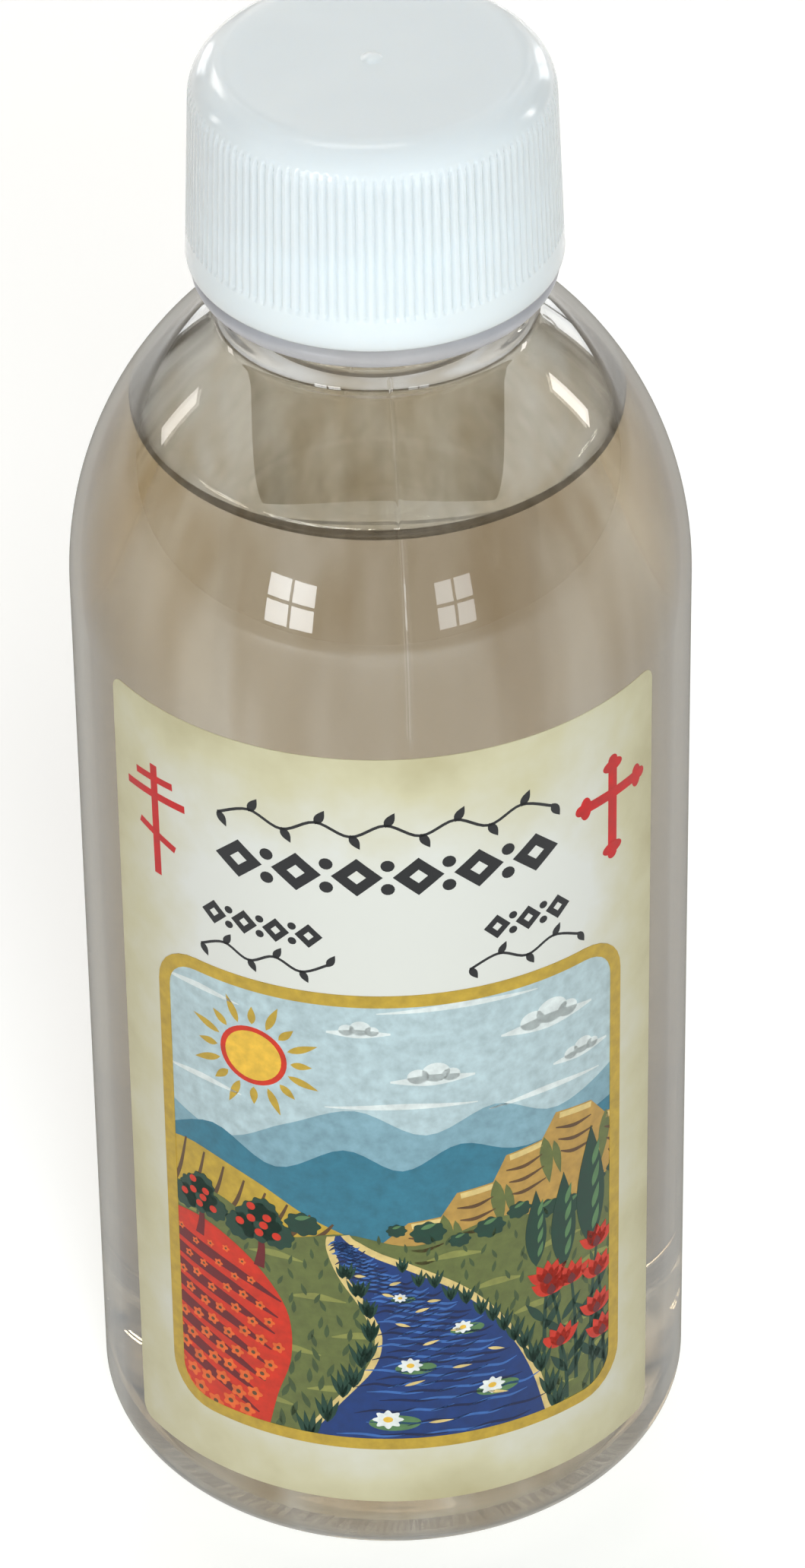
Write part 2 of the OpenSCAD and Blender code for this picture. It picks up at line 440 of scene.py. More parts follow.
@dataclass(frozen=True)
class GummedBack:
    """White back of the label, seen through the water."""

    name: str = "gummed_back"
    colour: ScreenColour = (250, 250, 247)
    gum: ScreenColour = (228, 227, 221)
    gum_grain: float = 240.0

    def material(self) -> bpy.types.Material:
        """Builds the matt shader with faint streaks of gum."""
        sheet = ShaderSheet(self.name)
        back = sheet.principled(Roughness=0.6, Specular_IOR_Level=0.2)
        streaks = sheet.noise(self.gum_grain, 3, (1.0, 1.0, 0.1))
        stops = [(0.35, linear(self.gum)), (0.6, linear(self.colour))]
        sheet.join(sheet.ramp(streaks, stops), back.inputs["Base Color"])
        return sheet.finish(back.outputs["BSDF"])


@dataclass(frozen=True)
class PrintedInk:
    """Ink film that takes a little of the paper's grain and of the press's mottle."""

    colour: InkColour
    mottle: float = 0.16
    grain: float = 900.0
    fibre_grain: float = 2600.0

    def material(self) -> bpy.types.Material:
        """Builds the shader from the ink's colour, darker and lighter in small spots."""
        sheet = ShaderSheet("ink_" + self.colour.name.lower())
        ink = sheet.principled(Specular_IOR_Level=0.4)
        base = linear(self.colour.value)
        dark = tuple(channel * (1 - self.mottle) for channel in base[:3]) + (1.0,)
        light = tuple(min(1.0, channel * (1 + self.mottle)) for channel in base[:3]) + (1.0,)
        spots = sheet.noise(self.grain, 4)
        sheet.join(sheet.ramp(spots, [(0.3, dark), (0.7, light)]), ink.inputs["Base Color"])
        sheet.join(sheet.spread(spots, 0.38, 0.55), ink.inputs["Roughness"])
        fibre = sheet.noise(self.fibre_grain, 3)
        sheet.join(sheet.bump(fibre, 0.2, 0.008), ink.inputs["Normal"])
        return sheet.finish(ink.outputs["BSDF"])


@dataclass(frozen=True)
class MouldedWhite:
    """Slightly cool white moulded plastic with a soft gloss."""

    name: str = "moulded_white"
    colour: ScreenColour = (232, 241, 247)
    shade: ScreenColour = (229, 238, 244)
    flow_grain: float = 60.0
    scuff_grain: float = 420.0

    def material(self) -> bpy.types.Material:
        """Builds the shader with faint flow marks and handling scuffs."""
        sheet = ShaderSheet(self.name)
        plastic = sheet.principled(
            Specular_IOR_Level=0.5,
            IOR=1.49,
            Subsurface_Weight=1.0,
            Subsurface_Scale=0.003,
            Subsurface_Radius=(1.0, 0.95, 0.9),
        )
        flow = sheet.noise(self.flow_grain, 2, (1.0, 1.0, 0.5))
        stops = [(0.35, linear(self.shade)), (0.6, linear(self.colour))]
        sheet.join(sheet.ramp(flow, stops), plastic.inputs["Base Color"])
        scuff = sheet.noise(self.scuff_grain, 3)
        sheet.join(sheet.spread(scuff, 0.1, 0.18), plastic.inputs["Roughness"])
        sheet.join(sheet.bump(scuff, 0.1, 0.003), plastic.inputs["Normal"])
        return sheet.finish(plastic.outputs["BSDF"])


@dataclass(frozen=True)
class SoftFoam:
    """Matt foam with fine pores."""

    name: str = "soft_foam"
    colour: ScreenColour = (236, 234, 226)
    pore: ScreenColour = (206, 203, 192)
    cell_grain: float = 3200.0

    def material(self) -> bpy.types.Material:
        """Builds the shader from a cell pattern."""
        sheet = ShaderSheet(self.name)
        foam = sheet.principled(Roughness=0.85, Specular_IOR_Level=0.2)
        place = sheet.add("ShaderNodeTexCoord")
        cells = sheet.add("ShaderNodeTexVoronoi", {"Scale": self.cell_grain})
        sheet.join(place.outputs["Object"], cells.inputs["Vector"])
        stops = [(0.05, linear(self.pore)), (0.4, linear(self.colour))]
        sheet.join(sheet.ramp(cells.outputs["Distance"], stops), foam.inputs["Base Color"])
        sheet.join(sheet.bump(cells.outputs["Distance"], 0.5, 0.06), foam.inputs["Normal"])
        return sheet.finish(foam.outputs["BSDF"])


@dataclass(frozen=True)
class PaleFloor:
    """Plain pale floor with a faint cloudiness, which throws little light back up."""

    name: str = "pale_floor"
    colour: ScreenColour = (250, 250, 250)
    cloud: ScreenColour = (247, 247, 247)
    cloud_grain: float = 5.0
    thrown: ScreenColour = (200, 197, 192)
    glow: float = 0.16

    def material(self) -> bpy.types.Material:
        """Builds the matt shader, lifted where it is seen and darker for the light that it scatters."""
        sheet = ShaderSheet(self.name)
        stops = [(0.35, linear(self.cloud)), (0.65, linear(self.colour))]
        pale = sheet.add("ShaderNodeBsdfDiffuse")
        sheet.join(sheet.ramp(sheet.noise(self.cloud_grain, 2), stops), pale.inputs["Color"])
        dull = sheet.add("ShaderNodeBsdfDiffuse", {"Color": linear(self.thrown)})
        path = sheet.add("ShaderNodeLightPath")
        seen = path.outputs["Is Camera Ray"]
        for kind in ("Is Glossy Ray", "Is Transmission Ray"):
            seen = sheet.greater(seen, path.outputs[kind])
        lift = sheet.add("ShaderNodeEmission", {"Strength": self.glow})
        lifted = sheet.add("ShaderNodeAddShader")
        sheet.join(pale.outputs["BSDF"], lifted.inputs[0])
        sheet.join(lift.outputs["Emission"], lifted.inputs[1])
        return sheet.finish(sheet.blend(seen, dull.outputs["BSDF"], lifted.outputs["Shader"]))


@dataclass
class Outline:
    """Half of a turned section: points of radius and height, each with the zone of the stretch before it."""

    points: list[Point] = field(default_factory=list)
    zones: list[int] = field(default_factory=list)
    zone: int = 0

    GUARD = 0.12

    def add(self, r: float, z: float) -> "Outline":
        """Adds one point in the present zone."""
        self.points.append((r, z))
        self.zones.append(self.zone)
        return self

    def line(self, r: float, z: float, step: float = 4.0) -> "Outline":
        """Adds a straight stretch, with a row close to each end so that rounding stays local.

        Args:
            r: radius at its end.
            z: height at its end.
            step: greatest distance between rows.

        Returns:
            The outline itself.
        """
        r0, z0 = self.points[-1]
        length = math.hypot(r - r0, z - z0)
        shares = []
        if length > 4 * self.GUARD:
            near = self.GUARD / length
            count = max(1, math.ceil(length / step))
            shares = [near + (1 - 2 * near) * i / count for i in range(count + 1)]
        for share in shares + [1.0]:
            self.add(r0 + (r - r0) * share, z0 + (z - z0) * share)
        return self

    def arc(self, centre: Point, radius: float, first: float, last: float, step: float = 6.0) -> "Outline":
        """Adds a round stretch, without its first point.

        Args:
            centre: centre of the arc.
            radius: its radius.
            first: angle at its start, in degrees.
            last: angle at its end, in degrees.
            step: greatest angle between rows.

        Returns:
            The outline itself.
        """
        count = max(2, math.ceil(abs(last - first) / step))
        for i in range(1, count + 1):
            angle = math.radians(first + (last - first) * i / count)
            self.add(centre[0] + radius * math.cos(angle), centre[1] + radius * math.sin(angle))
        return self


class MeshDraft:
    """Points and faces of one mesh, gathered before Blender gets them."""

    AXIS = 1e-9

    def __init__(self) -> None:
        """Starts with nothing."""
        self.points: list[tuple[float, float, float]] = []
        self.faces: list[list[int]] = []
        self.zones: list[int] = []

    def turned(
        self, outline: Outline, angles: Sequence[float], shift: Optional[Shift] = None
    ) -> list[list[int]]:
        """Turns an outline round the axis.

        Args:
            outline: the half section.
            angles: directions of the columns, in degrees.
            shift: extra radius for a zone, radius, height and angle.

        Returns:
            The point numbers of each row; a row on the axis has one.
        """
        rows = []
        for (r, z), zone in zip(outline.points, outline.zones):
            if r < self.AXIS:
                rows.append([len(self.points)])
                self.points.append((0.0, 0.0, z))
                continue
            rows.append(list(range(len(self.points), len(self.points) + len(angles))))
            for angle in angles:
                full = r + (shift(zone, r, z, angle) if shift else 0.0)
                turn = math.radians(angle)
                self.points.append((full * math.cos(turn), full * math.sin(turn), z))
        for low, high, zone in zip(rows, rows[1:], outline.zones[1:]):
            self.strip(low, high, zone)
        return rows

    def strip(self, low: list[int], high: list[int], zone: int) -> None:
        """Fills the band between two rows with faces of that zone."""
        count = max(len(low), len(high))
        for i in range(count):
            k = (i + 1) % count
            if len(low) == 1:
                face = [low[0], high[k], high[i]]
            elif len(high) == 1:
                face = [low[i], low[k], high[0]]
            else:
                face = [low[i], low[k], high[k], high[i]]
            self.faces.append(face)
            self.zones.append(zone)

    def ring(self, fine: list[int], coarse: list[int], zone: int) -> None:
        """Joins a row of many points to a row of fewer, which divides it."""
        share = len(fine) // len(coarse)
        for i in range(len(coarse)):
            k = (i + 1) % len(coarse)
            edge = [fine[(i * share + j) % len(fine)] for j in range(share + 1)]
            self.faces.append([coarse[i], *edge, coarse[k]])
            self.zones.append(zone)

    def mesh(self, name: str) -> bpy.types.Mesh:
        """Makes the mesh in metres, with its faces turned outwards and its zones as material numbers.

        Args:
            name: name of the mesh.

        Returns:
            The closed mesh, shaded smooth with sharp edges kept.
        """
        mesh = bpy.data.meshes.new(name)
        mesh.from_pydata([(x * MM, y * MM, z * MM) for x, y, z in self.points], [], self.faces)
        mesh.polygons.foreach_set("material_index", self.zones)
        draft = bmesh.new()
        draft.from_mesh(mesh)
        if draft.calc_volume(signed=True) < 0:
            bmesh.ops.reverse_faces(draft, faces=draft.faces[:])
        draft.to_mesh(mesh)
        draft.free()
        mesh.shade_smooth()
        mesh.set_sharp_from_angle(angle=SHARP_ANGLE)
        mesh.update()
        return mesh


def make_piece(
    name: str,
    mesh: bpy.types.Mesh,
    materials: Sequence[bpy.types.Material],
    body: Body,
    stands_for: Optional[str] = None,
) -> bpy.types.Object:
    """Puts a finished mesh into the scene as one piece of the object.

    Args:
        name: name of the piece.
        mesh: its mesh, in place.
        materials: its materials, in the order of the mesh's numbers.
        body: the body that it moves with.
        stands_for: the solid that it replaces, if any.

    Returns:
        The new object.
    """
    for material in materials:
        mesh.materials.append(material)
    piece = bpy.data.objects.new(name, mesh)
    bpy.context.scene.collection.objects.link(piece)
    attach(piece, body.value)
    if stands_for:
        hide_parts(stands_for)
    LOG.info("%s: %d faces on %s", name, len(mesh.polygons), body.value)
    return piece


def even_angles(count: int) -> list[float]:
    """Spreads a number of directions evenly round the axis, in degrees."""
    return [360 * i / count for i in range(count)]


@dataclass(frozen=True)
class Thread:
    """A bead that climbs round the axis, as a height over its wall."""

    start: float
    pitch: float
    turns: tuple[float, float]
    depth: float = 1.05
    crest: float = 0.9
    root: float = 2.2
    sink: float = 0.2
    fade: float = 36.0

    def height(self, z: float, angle: float) -> float:
        """Measures the bead over its wall.

        Args:
            z: height of the place.
            angle: its direction in degrees.

        Returns:
            Height of the bead there, or zero.
        """
        flank = (self.root - self.crest) / 2 / self.depth
        first, last = self.turns
        best = 0.0
        for turn in range(math.floor(first / 360), math.ceil(last / 360) + 1):
            along = angle % 360 + 360 * turn
            if not first < along < last:
                continue
            risen = min(1.0, (along - first) / self.fade, (last - along) / self.fade)
            limit = risen * (self.depth + self.sink) - self.sink
            away = abs(z - self.start - self.pitch * along / 360)
            best = max(best, min(limit, (self.root / 2 - away) / flank))
        return best


@dataclass
class Bottle:
    """Clear blown shell: body, shoulder, support ring and threaded neck."""

    body_r: float
    rim: float
    contact: float
    shoulder_start: float = 88.7
    shoulder_radius: float = 33.7
    heel_radius: float = 3.4
    wall: float = 0.7
    floor_wall: float = 1.0
    foot_width: float = 3.6
    push_up: float = 4.0
    bore_r: float = 10.8
    neck_wall: float = 2.1
    neck_height: float = 3.4
    throat_radius: float = 2.0
    inner_throat_radius: float = 3.0
    ring_reach: float = 2.1
    ring_thickness: float = 1.8
    finish_wall: float = 1.65
    rim_edge: float = 0.4
    thread_pitch: float = 4.233
    thread_turns: float = 1.5
    thread_drop: float = 3.0
    columns: int = 240
    seam_height: float = 0.05
    seam_angles: tuple[float, ...] = (0.22, 0.5)
    seam_gap: float = 0.9
    seam_turn: float = 4.5

    @property
    def shoulder_x(self) -> float:
        """Radius at which the shoulder's curve has its centre."""
        return self.body_r - self.shoulder_radius

    @property
    def neck_r(self) -> float:
        """Outside radius of the plain neck."""
        return self.bore_r + self.neck_wall

    @property
    def finish_r(self) -> float:
        """Outside radius of the neck between the threads."""
        return self.bore_r + self.finish_wall

    @property
    def neck_base(self) -> float:
        """Height where the shoulder's curve would meet the neck."""
        reach = self.neck_r - self.shoulder_x
        return self.shoulder_start + math.sqrt(self.shoulder_radius**2 - reach**2)

    @property
    def ring_bottom(self) -> float:
        """Height of the support ring's underside."""
        return self.neck_base + self.neck_height

    @property
    def dome_r(self) -> float:
        """Radius of the raised middle under the floor."""
        return self.body_r - self.heel_radius - self.foot_width

    @property
    def dome_ball(self) -> float:
        """Radius of the ball that the raised middle is a part of."""
        return (self.dome_r**2 + self.push_up**2) / (2 * self.push_up)

    @property
    def thread(self) -> Thread:
        """The bead outside the neck."""
        start = self.rim - self.thread_drop - self.thread_turns * self.thread_pitch
        return Thread(start, self.thread_pitch, (0.0, 360 * self.thread_turns))

    def fillet(self, arc: float, tube: float, radius: float) -> tuple[Point, float]:
        """Finds the fillet between the shoulder's curve and an upright tube.

        Args:
            arc: radius of the shoulder's curve.
            tube: radius of the tube.
            radius: radius of the fillet.

        Returns:
            The fillet's centre, and the shoulder's angle where they touch.
        """
        reach = tube + radius - self.shoulder_x
        rise = math.sqrt((arc + radius) ** 2 - reach**2)
        return (tube + radius, self.shoulder_start + rise), math.degrees(math.atan2(rise, reach))

    def cavity(self, inset: float) -> Outline:
        """Draws the inside from the floor's centre up to where the water's edge stands.

        Args:
            inset: distance kept from the wall.

        Returns:
            The outline so far.
        """
        dome = self.dome_ball + self.floor_wall + inset
        dome_z = self.push_up - self.dome_ball
        inner_heel = self.heel_radius - self.wall
        heel = (self.body_r - self.heel_radius, self.floor_wall + inner_heel)
        arc = self.shoulder_radius - self.wall - inset
        outline = Outline(zone=Wall.WET.value)
        outline.add(0.0, dome_z + dome)
        flat = math.degrees(math.asin((self.floor_wall + inset - dome_z) / dome))
        outline.arc((0.0, dome_z), dome, 90, flat, 2.0)
        outline.line(heel[0], self.floor_wall + inset)
        outline.arc(heel, inner_heel - inset, -90, 0)
        outline.line(self.body_r - self.wall - inset, self.shoulder_start, 8.0)
        edge = math.degrees(math.asin((self.contact - self.shoulder_start) / arc))
        return outline.arc((self.shoulder_x, self.shoulder_start), arc, 0, edge, 1.5)

    def outline(self) -> Outline:
        """Draws the whole wall, from the inner floor over the rim to the dome underneath."""
        shoulder = (self.shoulder_x, self.shoulder_start)
        inner_arc = self.shoulder_radius - self.wall
        inner_centre, inner_touch = self.fillet(inner_arc, self.bore_r, self.inner_throat_radius)
        centre, touch = self.fillet(self.shoulder_radius, self.neck_r, self.throat_radius)
        edge = math.degrees(math.asin((self.contact - self.shoulder_start) / inner_arc))
        outline = self.cavity(0.0)
        outline.zone = Wall.DRY.value
        outline.arc(shoulder, inner_arc, edge, inner_touch, 1.5)
        outline.arc(inner_centre, self.inner_throat_radius, inner_touch + 180, 180)
        outline.line(self.bore_r, self.rim - self.rim_edge)
        outline.zone = Wall.OUTER.value
        lip = self.rim - self.rim_edge
        outline.arc((self.bore_r + self.rim_edge, lip), self.rim_edge, 180, 90, 15)
        outline.line(self.finish_r - self.rim_edge, self.rim)
        outline.arc((self.finish_r - self.rim_edge, lip), self.rim_edge, 90, 0, 15)
        ring_edge = self.neck_r + self.ring_reach - self.ring_thickness / 2
        ring_middle = self.ring_bottom + self.ring_thickness / 2
        outline.line(self.finish_r, self.ring_bottom + self.ring_thickness, 0.16)
        outline.zone = Wall.RING.value
        outline.line(ring_edge, self.ring_bottom + self.ring_thickness)
        outline.arc((ring_edge, ring_middle), self.ring_thickness / 2, 90, -90, 12)
        outline.line(self.neck_r, self.ring_bottom)
        outline.zone = Wall.OUTER.value
        outline.line(self.neck_r, centre[1])
        outline.arc(centre, self.throat_radius, 180, touch + 180)
        outline.arc(shoulder, self.shoulder_radius, touch, 0, 1.5)
        heel_r = self.body_r - self.heel_radius
        outline.line(self.body_r, self.heel_radius, 8.0)
        outline.arc((heel_r, self.heel_radius), self.heel_radius, 0, -90)
        outline.line(self.dome_r, 0.0)
        flat = math.degrees(math.acos(self.dome_r / self.dome_ball))
        return outline.arc((0.0, self.push_up - self.dome_ball), self.dome_ball, flat, 90, 2.0)

    def shift(self, zone: int, r: float, z: float, angle: float) -> float:
        """Raises the thread on the neck and the mould's seam on the shoulder.

        Args:
            zone: zone of the wall.
            r: radius of the smooth wall.
            z: height.
            angle: direction in degrees.

        Returns:
            Extra radius.
        """
        if zone != Wall.OUTER.value:
            return 0.0
        if abs(r - self.finish_r) < MM:
            return self.thread.height(z, angle)
        if self.shoulder_start + self.seam_gap < z < self.ring_bottom - self.seam_gap / 2:
            away = abs((angle - self.seam_turn) % 180 - 90)
            return self.seam_height * max(0.0, 1 - away / self.seam_angles[-1]) ** 1.5
        return 0.0

    def build(self) -> bpy.types.Object:
        """Builds the shell and dresses its outer, dry and wet walls and its ring."""
        angles = set(even_angles(self.columns))
        for middle in (90.0 + self.seam_turn, 270.0 + self.seam_turn):
            for away in self.seam_angles:
                angles |= {middle - away, middle + away}
        draft = MeshDraft()
        draft.turned(self.outline(), sorted(angles), self.shift)
        finishes = [
            ClearPet(
                "clear_pet_outer",
                # Grey tint: painted shade over all that is seen through the outer wall; the near-black slant
                # tint and the dark pass paint its silhouettes.
                tint=(0.54, 0.55, 0.555, 1.0),
                slant_path_and_shade_tint=(0.07, 0.063, 0.048, 1.0),
                painted_rim_shade_share=0.7,
            ),
            ClearPet("clear_pet_inner"),
            ClearPet(
                "clear_pet_wetted",
                tint=(0.92, 0.835, 0.705, 1.0),
                ior=PET_IOR / WATER_IOR,
                ripple_depth=0.01,
            ),
            MilkyPet(),
        ]
        materials = [finish.material() for finish in finishes]
        mesh = draft.mesh("bottle_shell")
        return make_piece("bottle_shell", mesh, materials, Body.BOTTLE, "bottle")


@dataclass
class Water:
    """The filling, with the edge that climbs the wall."""

    bottle: Bottle
    level: float
    inset: float = 0.02
    edge_reach: float = 12.0
    edge_fall: float = 2.0
    film_share: float = 0.3
    film_fall: float = 0.2
    edge_rows: int = 40

    OPEN_SURFACE = "open_surface"
    OPEN_ZONE = 1

    def build(self) -> bpy.types.Object:
        """Builds the closed body of water and marks its open surface."""
        outline = self.bottle.cavity(self.inset)
        outline.zones = [0] * len(outline.zones)
        outline.zone = self.OPEN_ZONE
        edge_r, edge_z = outline.points[-1]
        for i in range(1, self.edge_rows + 1):
            away = self.edge_reach * (i / self.edge_rows) ** 3
            film = self.film_share * math.exp(-away / self.film_fall)
            swell = (1 - self.film_share) * math.exp(-away / self.edge_fall)
            outline.add(edge_r - away, self.level + (edge_z - self.level) * (film + swell))
        outline.line(0.0, self.level)
        draft = MeshDraft()
        draft.turned(outline, even_angles(self.bottle.columns))
        zones = draft.zones
        draft.zones = [0] * len(zones)
        mesh = draft.mesh("water_fill")
        mark = mesh.attributes.new(self.OPEN_SURFACE, "FLOAT", "FACE")
        mark.data.foreach_set("value", [float(zone) for zone in zones])
        return make_piece("water_fill", mesh, [StillWater().material()], Body.BOTTLE, "water")


@dataclass
class Cap:
    """White screw cap: ribbed skirt, smooth band, rounded top, gate mark and inner thread."""

    bottom: float
    rim: float
    neck_thread: Thread
    height: float = 17.9
    bore_r: float = 13.8
    skirt_wall: float = 1.6
    skirt_lean: float = 0.7
    corner_radius: float = 3.25
    top_wall: float = 1.6
    band_height: float = 2.7
    rib_count: int = 120
    groove_width: float = 0.5
    groove_depth: float = 0.3
    groove_ramp: float = 0.35
    gate_r: float = 0.9
    gate_height: float = 0.3
    edge: float = 0.3
    inner_edge: float = 0.2
    seat_step: float = 0.6
    seat_lip: float = 0.6
    thread_offset: float = 1.714
    thread_turns: float = 1.25
    inner_columns: int = 240
    rib_stations: tuple[float, ...] = (-0.28, -0.22, -0.03, 0.03, 0.22, 0.28)

    @property
    def skirt_r(self) -> float:
        """Outside radius of the skirt at its lower edge."""
        return self.bore_r + self.skirt_wall

    @property
    def thread(self) -> Thread:
        """The bead inside the cap, just under the neck's."""
        last = self.neck_thread.turns[1] - 90
        turns = (last - 360 * self.thread_turns, last)
        return Thread(self.neck_thread.start - self.thread_offset, self.neck_thread.pitch, turns)

    def outside(self) -> Outline:
        """Draws the skirt, the rounded top and the gate mark."""
        lean = math.atan(self.skirt_lean / self.height)
        slope = math.tan(lean)
        straight = self.height - self.corner_radius
        corner_x = self.skirt_r - straight * slope - self.corner_radius / math.cos(lean)
        top = self.bottom + self.height
        outline = Outline()
        outline.add(self.skirt_r - self.edge, self.bottom)
        outline.arc((self.skirt_r - self.edge, self.bottom + self.edge), self.edge, -90, 0, 15)
        band = self.bottom + self.band_height
        outline.line(self.skirt_r - self.band_height * slope, band)
        ramp_r = self.skirt_r - (self.band_height + self.groove_ramp) * slope
        outline.line(ramp_r, band + self.groove_ramp, self.groove_ramp / 5)
        start = math.degrees(lean)
        corner = (corner_x, top - self.corner_radius)
        first = math.radians(start)
        meet_r = corner_x + self.corner_radius * math.cos(first)
        outline.line(meet_r, corner[1] + self.corner_radius * math.sin(first))
        outline.arc(corner, self.corner_radius, start, 90, 3.0)
        outline.line(self.gate_r, top)
        ball = (self.gate_r**2 + self.gate_height**2) / (2 * self.gate_height)
        rest = math.degrees(math.acos(self.gate_r / ball))
        return outline.arc((0.0, top + self.gate_height - ball), ball, rest, 90, 6.0)

    def inside(self) -> Outline:
        """Draws the room inside, from the lower edge up to the middle of its top."""
        ledge = self.rim - self.seat_lip
        seat_r = self.bore_r - self.seat_step
        ceiling = self.bottom + self.height - self.top_wall
        outline = Outline()
        edge = (self.bore_r + self.inner_edge, self.bottom + self.inner_edge)
        outline.add(edge[0], self.bottom)
        outline.arc(edge, self.inner_edge, 270, 180, 30)
        outline.line(self.bore_r, ledge, 0.18)
        outline.line(seat_r, ledge)
        outline.line(seat_r, ceiling)
        return outline.line(0.0, ceiling)

    def groove(self, zone: int, r: float, z: float, angle: float) -> float:
        """Cuts the V grooves between the ribs, which run out on the rounded top.

        Args:
            zone: not used here.
            r: radius of the smooth outside.
            z: height.
            angle: direction in degrees.

        Returns:
            Change of the radius, never above zero.
        """
        along = z - self.bottom - self.band_height
        skirt = self.skirt_r - (z - self.bottom) * self.skirt_lean / self.height
        depth = self.groove_depth - (skirt - r)
        if along <= 0 or depth <= 0:
            return 0.0
        ramp = min(1.0, along / self.groove_ramp)
        pitch = 360 / self.rib_count
        away = abs((angle / pitch + 0.5) % 1 - 0.5) * math.radians(pitch) * r
        half = self.groove_width / 2 * depth / self.groove_depth
        return -depth * ramp * ramp * (3 - 2 * ramp) * max(0.0, 1 - away / half)

    def inner_thread(self, zone: int, r: float, z: float, angle: float) -> float:
        """Raises the thread inside the skirt, towards the axis."""
        return -self.thread.height(z, angle) if abs(r - self.bore_r) < MM else 0.0

    def build(self) -> bpy.types.Object:
        """Builds the cap as one closed mesh."""
        step = 360 / self.rib_count
        angles = [
            step * i + math.degrees(station / self.skirt_r)
            for i in range(self.rib_count)
            for station in self.rib_stations
        ]
        draft = MeshDraft()
        outer = draft.turned(self.outside(), angles, self.groove)
        outer_faces = len(draft.faces)
        inner = draft.turned(self.inside(), even_angles(self.inner_columns), self.inner_thread)
        for face in draft.faces[outer_faces:]:
            face.reverse()
        draft.ring(outer[0], inner[0], 0)
        mesh = draft.mesh("screw_cap")
        return make_piece("screw_cap", mesh, [MouldedWhite().material()], Body.CAP, "cap")


class Pen:
    """Draws flat loops, in label millimetres across and up."""

    THINNEST = 0.02

    @staticmethod
    def ellipse(centre: Point, across: float, up: float, turn: float = 0.0, steps: int = 28) -> Loop:
        """Draws an ellipse with half axes across and up, turned by degrees."""
        c, s = math.cos(math.radians(turn)), math.sin(math.radians(turn))
        loop = []
        for i in range(steps):
            angle = 2 * math.pi * i / steps
            x, z = across * math.cos(angle), up * math.sin(angle)
            loop.append((centre[0] + x * c - z * s, centre[1] + x * s + z * c))
        return loop

    @staticmethod
    def rounded_box(low: Point, high: Point, radius: float, steps: int = 7) -> Loop:
        """Draws a box with round corners between its low and high corners."""
        corners = [
            (high[0] - radius, high[1] - radius, 0),
            (low[0] + radius, high[1] - radius, 90),
            (low[0] + radius, low[1] + radius, 180),
            (high[0] - radius, low[1] + radius, 270),
        ]
        loop = []
        for x, z, start in corners:
            for i in range(steps + 1):
                angle = math.radians(start + 90 * i / steps)
                loop.append((x + radius * math.cos(angle), z + radius * math.sin(angle)))
        return loop

    @staticmethod
    def bar(start: Point, end: Point, width: float) -> Loop:
        """Draws a straight bar with square ends."""
        dx, dz = end[0] - start[0], end[1] - start[1]
        length = math.hypot(dx, dz)
        ox, oz = -dz / length * width / 2, dx / length * width / 2
        return [
            (start[0] - ox, start[1] - oz),
            (end[0] - ox, end[1] - oz),
            (end[0] + ox, end[1] + oz),
            (start[0] + ox, start[1] + oz),
        ]

    @staticmethod
    def curve(points: Sequence[Sequence[float]], steps: int = 6) -> list[tuple[float, ...]]:
        """Runs a smooth line through points of any size.

        Args:
            points: the points that it passes.
            steps: pieces between two points.

        Returns:
            Points along the smooth line.
        """
        padded = [points[0], *points, points[-1]]
        line = []
        for a, b, c, d in zip(padded, padded[1:], padded[2:], padded[3:]):
            for i in range(steps):
                t = i / steps
                line.append(tuple(
                    0.5 * (2 * q + (r - p) * t + (2 * p - 5 * q + 4 * r - s) * t * t
                           + (3 * q - p - 3 * r + s) * t**3)
                    for p, q, r, s in zip(a, b, c, d)
                ))
        line.append(tuple(points[-1]))
        return line

    @staticmethod
    def brush(points: Sequence[Sequence[float]], steps: int = 6) -> Loop:
        """Draws a stroke through points of place and half width.

        Args:
            points: across, up and half width of each point.
            steps: pieces between two points.

        Returns:
            The stroke's outline.
        """
        line = Pen.curve(points, steps)
        left, right = [], []
        for i, (x, z, half) in enumerate(line):
            before, after = line[max(0, i - 1)], line[min(len(line) - 1, i + 1)]
            dx, dz = after[0] - before[0], after[1] - before[1]
            length = math.hypot(dx, dz)
            half = max(half, Pen.THINNEST)
            left.append((x - dz / length * half, z + dx / length * half))
            right.append((x + dz / length * half, z - dx / length * half))
        return right + left[::-1]

    @staticmethod
    def leaf(base: Point, length: float, width: float, turn: float, steps: int = 7) -> Loop:
        """Draws a pointed leaf from its base, turned by degrees from the right."""
        c, s = math.cos(math.radians(turn)), math.sin(math.radians(turn))
        right, left = [], []
        for i in range(steps + 1):
            share = i / steps
            half = width / 2 * math.sin(math.pi * share**0.8)
            x = length * share
            right.append((base[0] + x * c + half * s, base[1] + x * s - half * c))
            left.append((base[0] + x * c - half * s, base[1] + x * s + half * c))
        return right + left[-2:0:-1]

    @staticmethod
    def flower(centre: Point, radius: float, petals: int, notch: float, flat: float = 1.0) -> Loop:
        """Draws a round flower with petals, notched by a share of its radius."""
        loop = []
        steps = petals * 6
        for i in range(steps):
            angle = 2 * math.pi * i / steps
            reach = radius * (1 - notch * (0.5 - 0.5 * math.cos(petals * angle)))
            x, z = reach * math.cos(angle), flat * reach * math.sin(angle)
            loop.append((centre[0] + x, centre[1] + z))
        return loop


@dataclass(frozen=True)
class Patch:
    """A flat shape on the label: an outer loop and the holes in it."""

    outer: Loop
    holes: tuple[Loop, ...] = ()


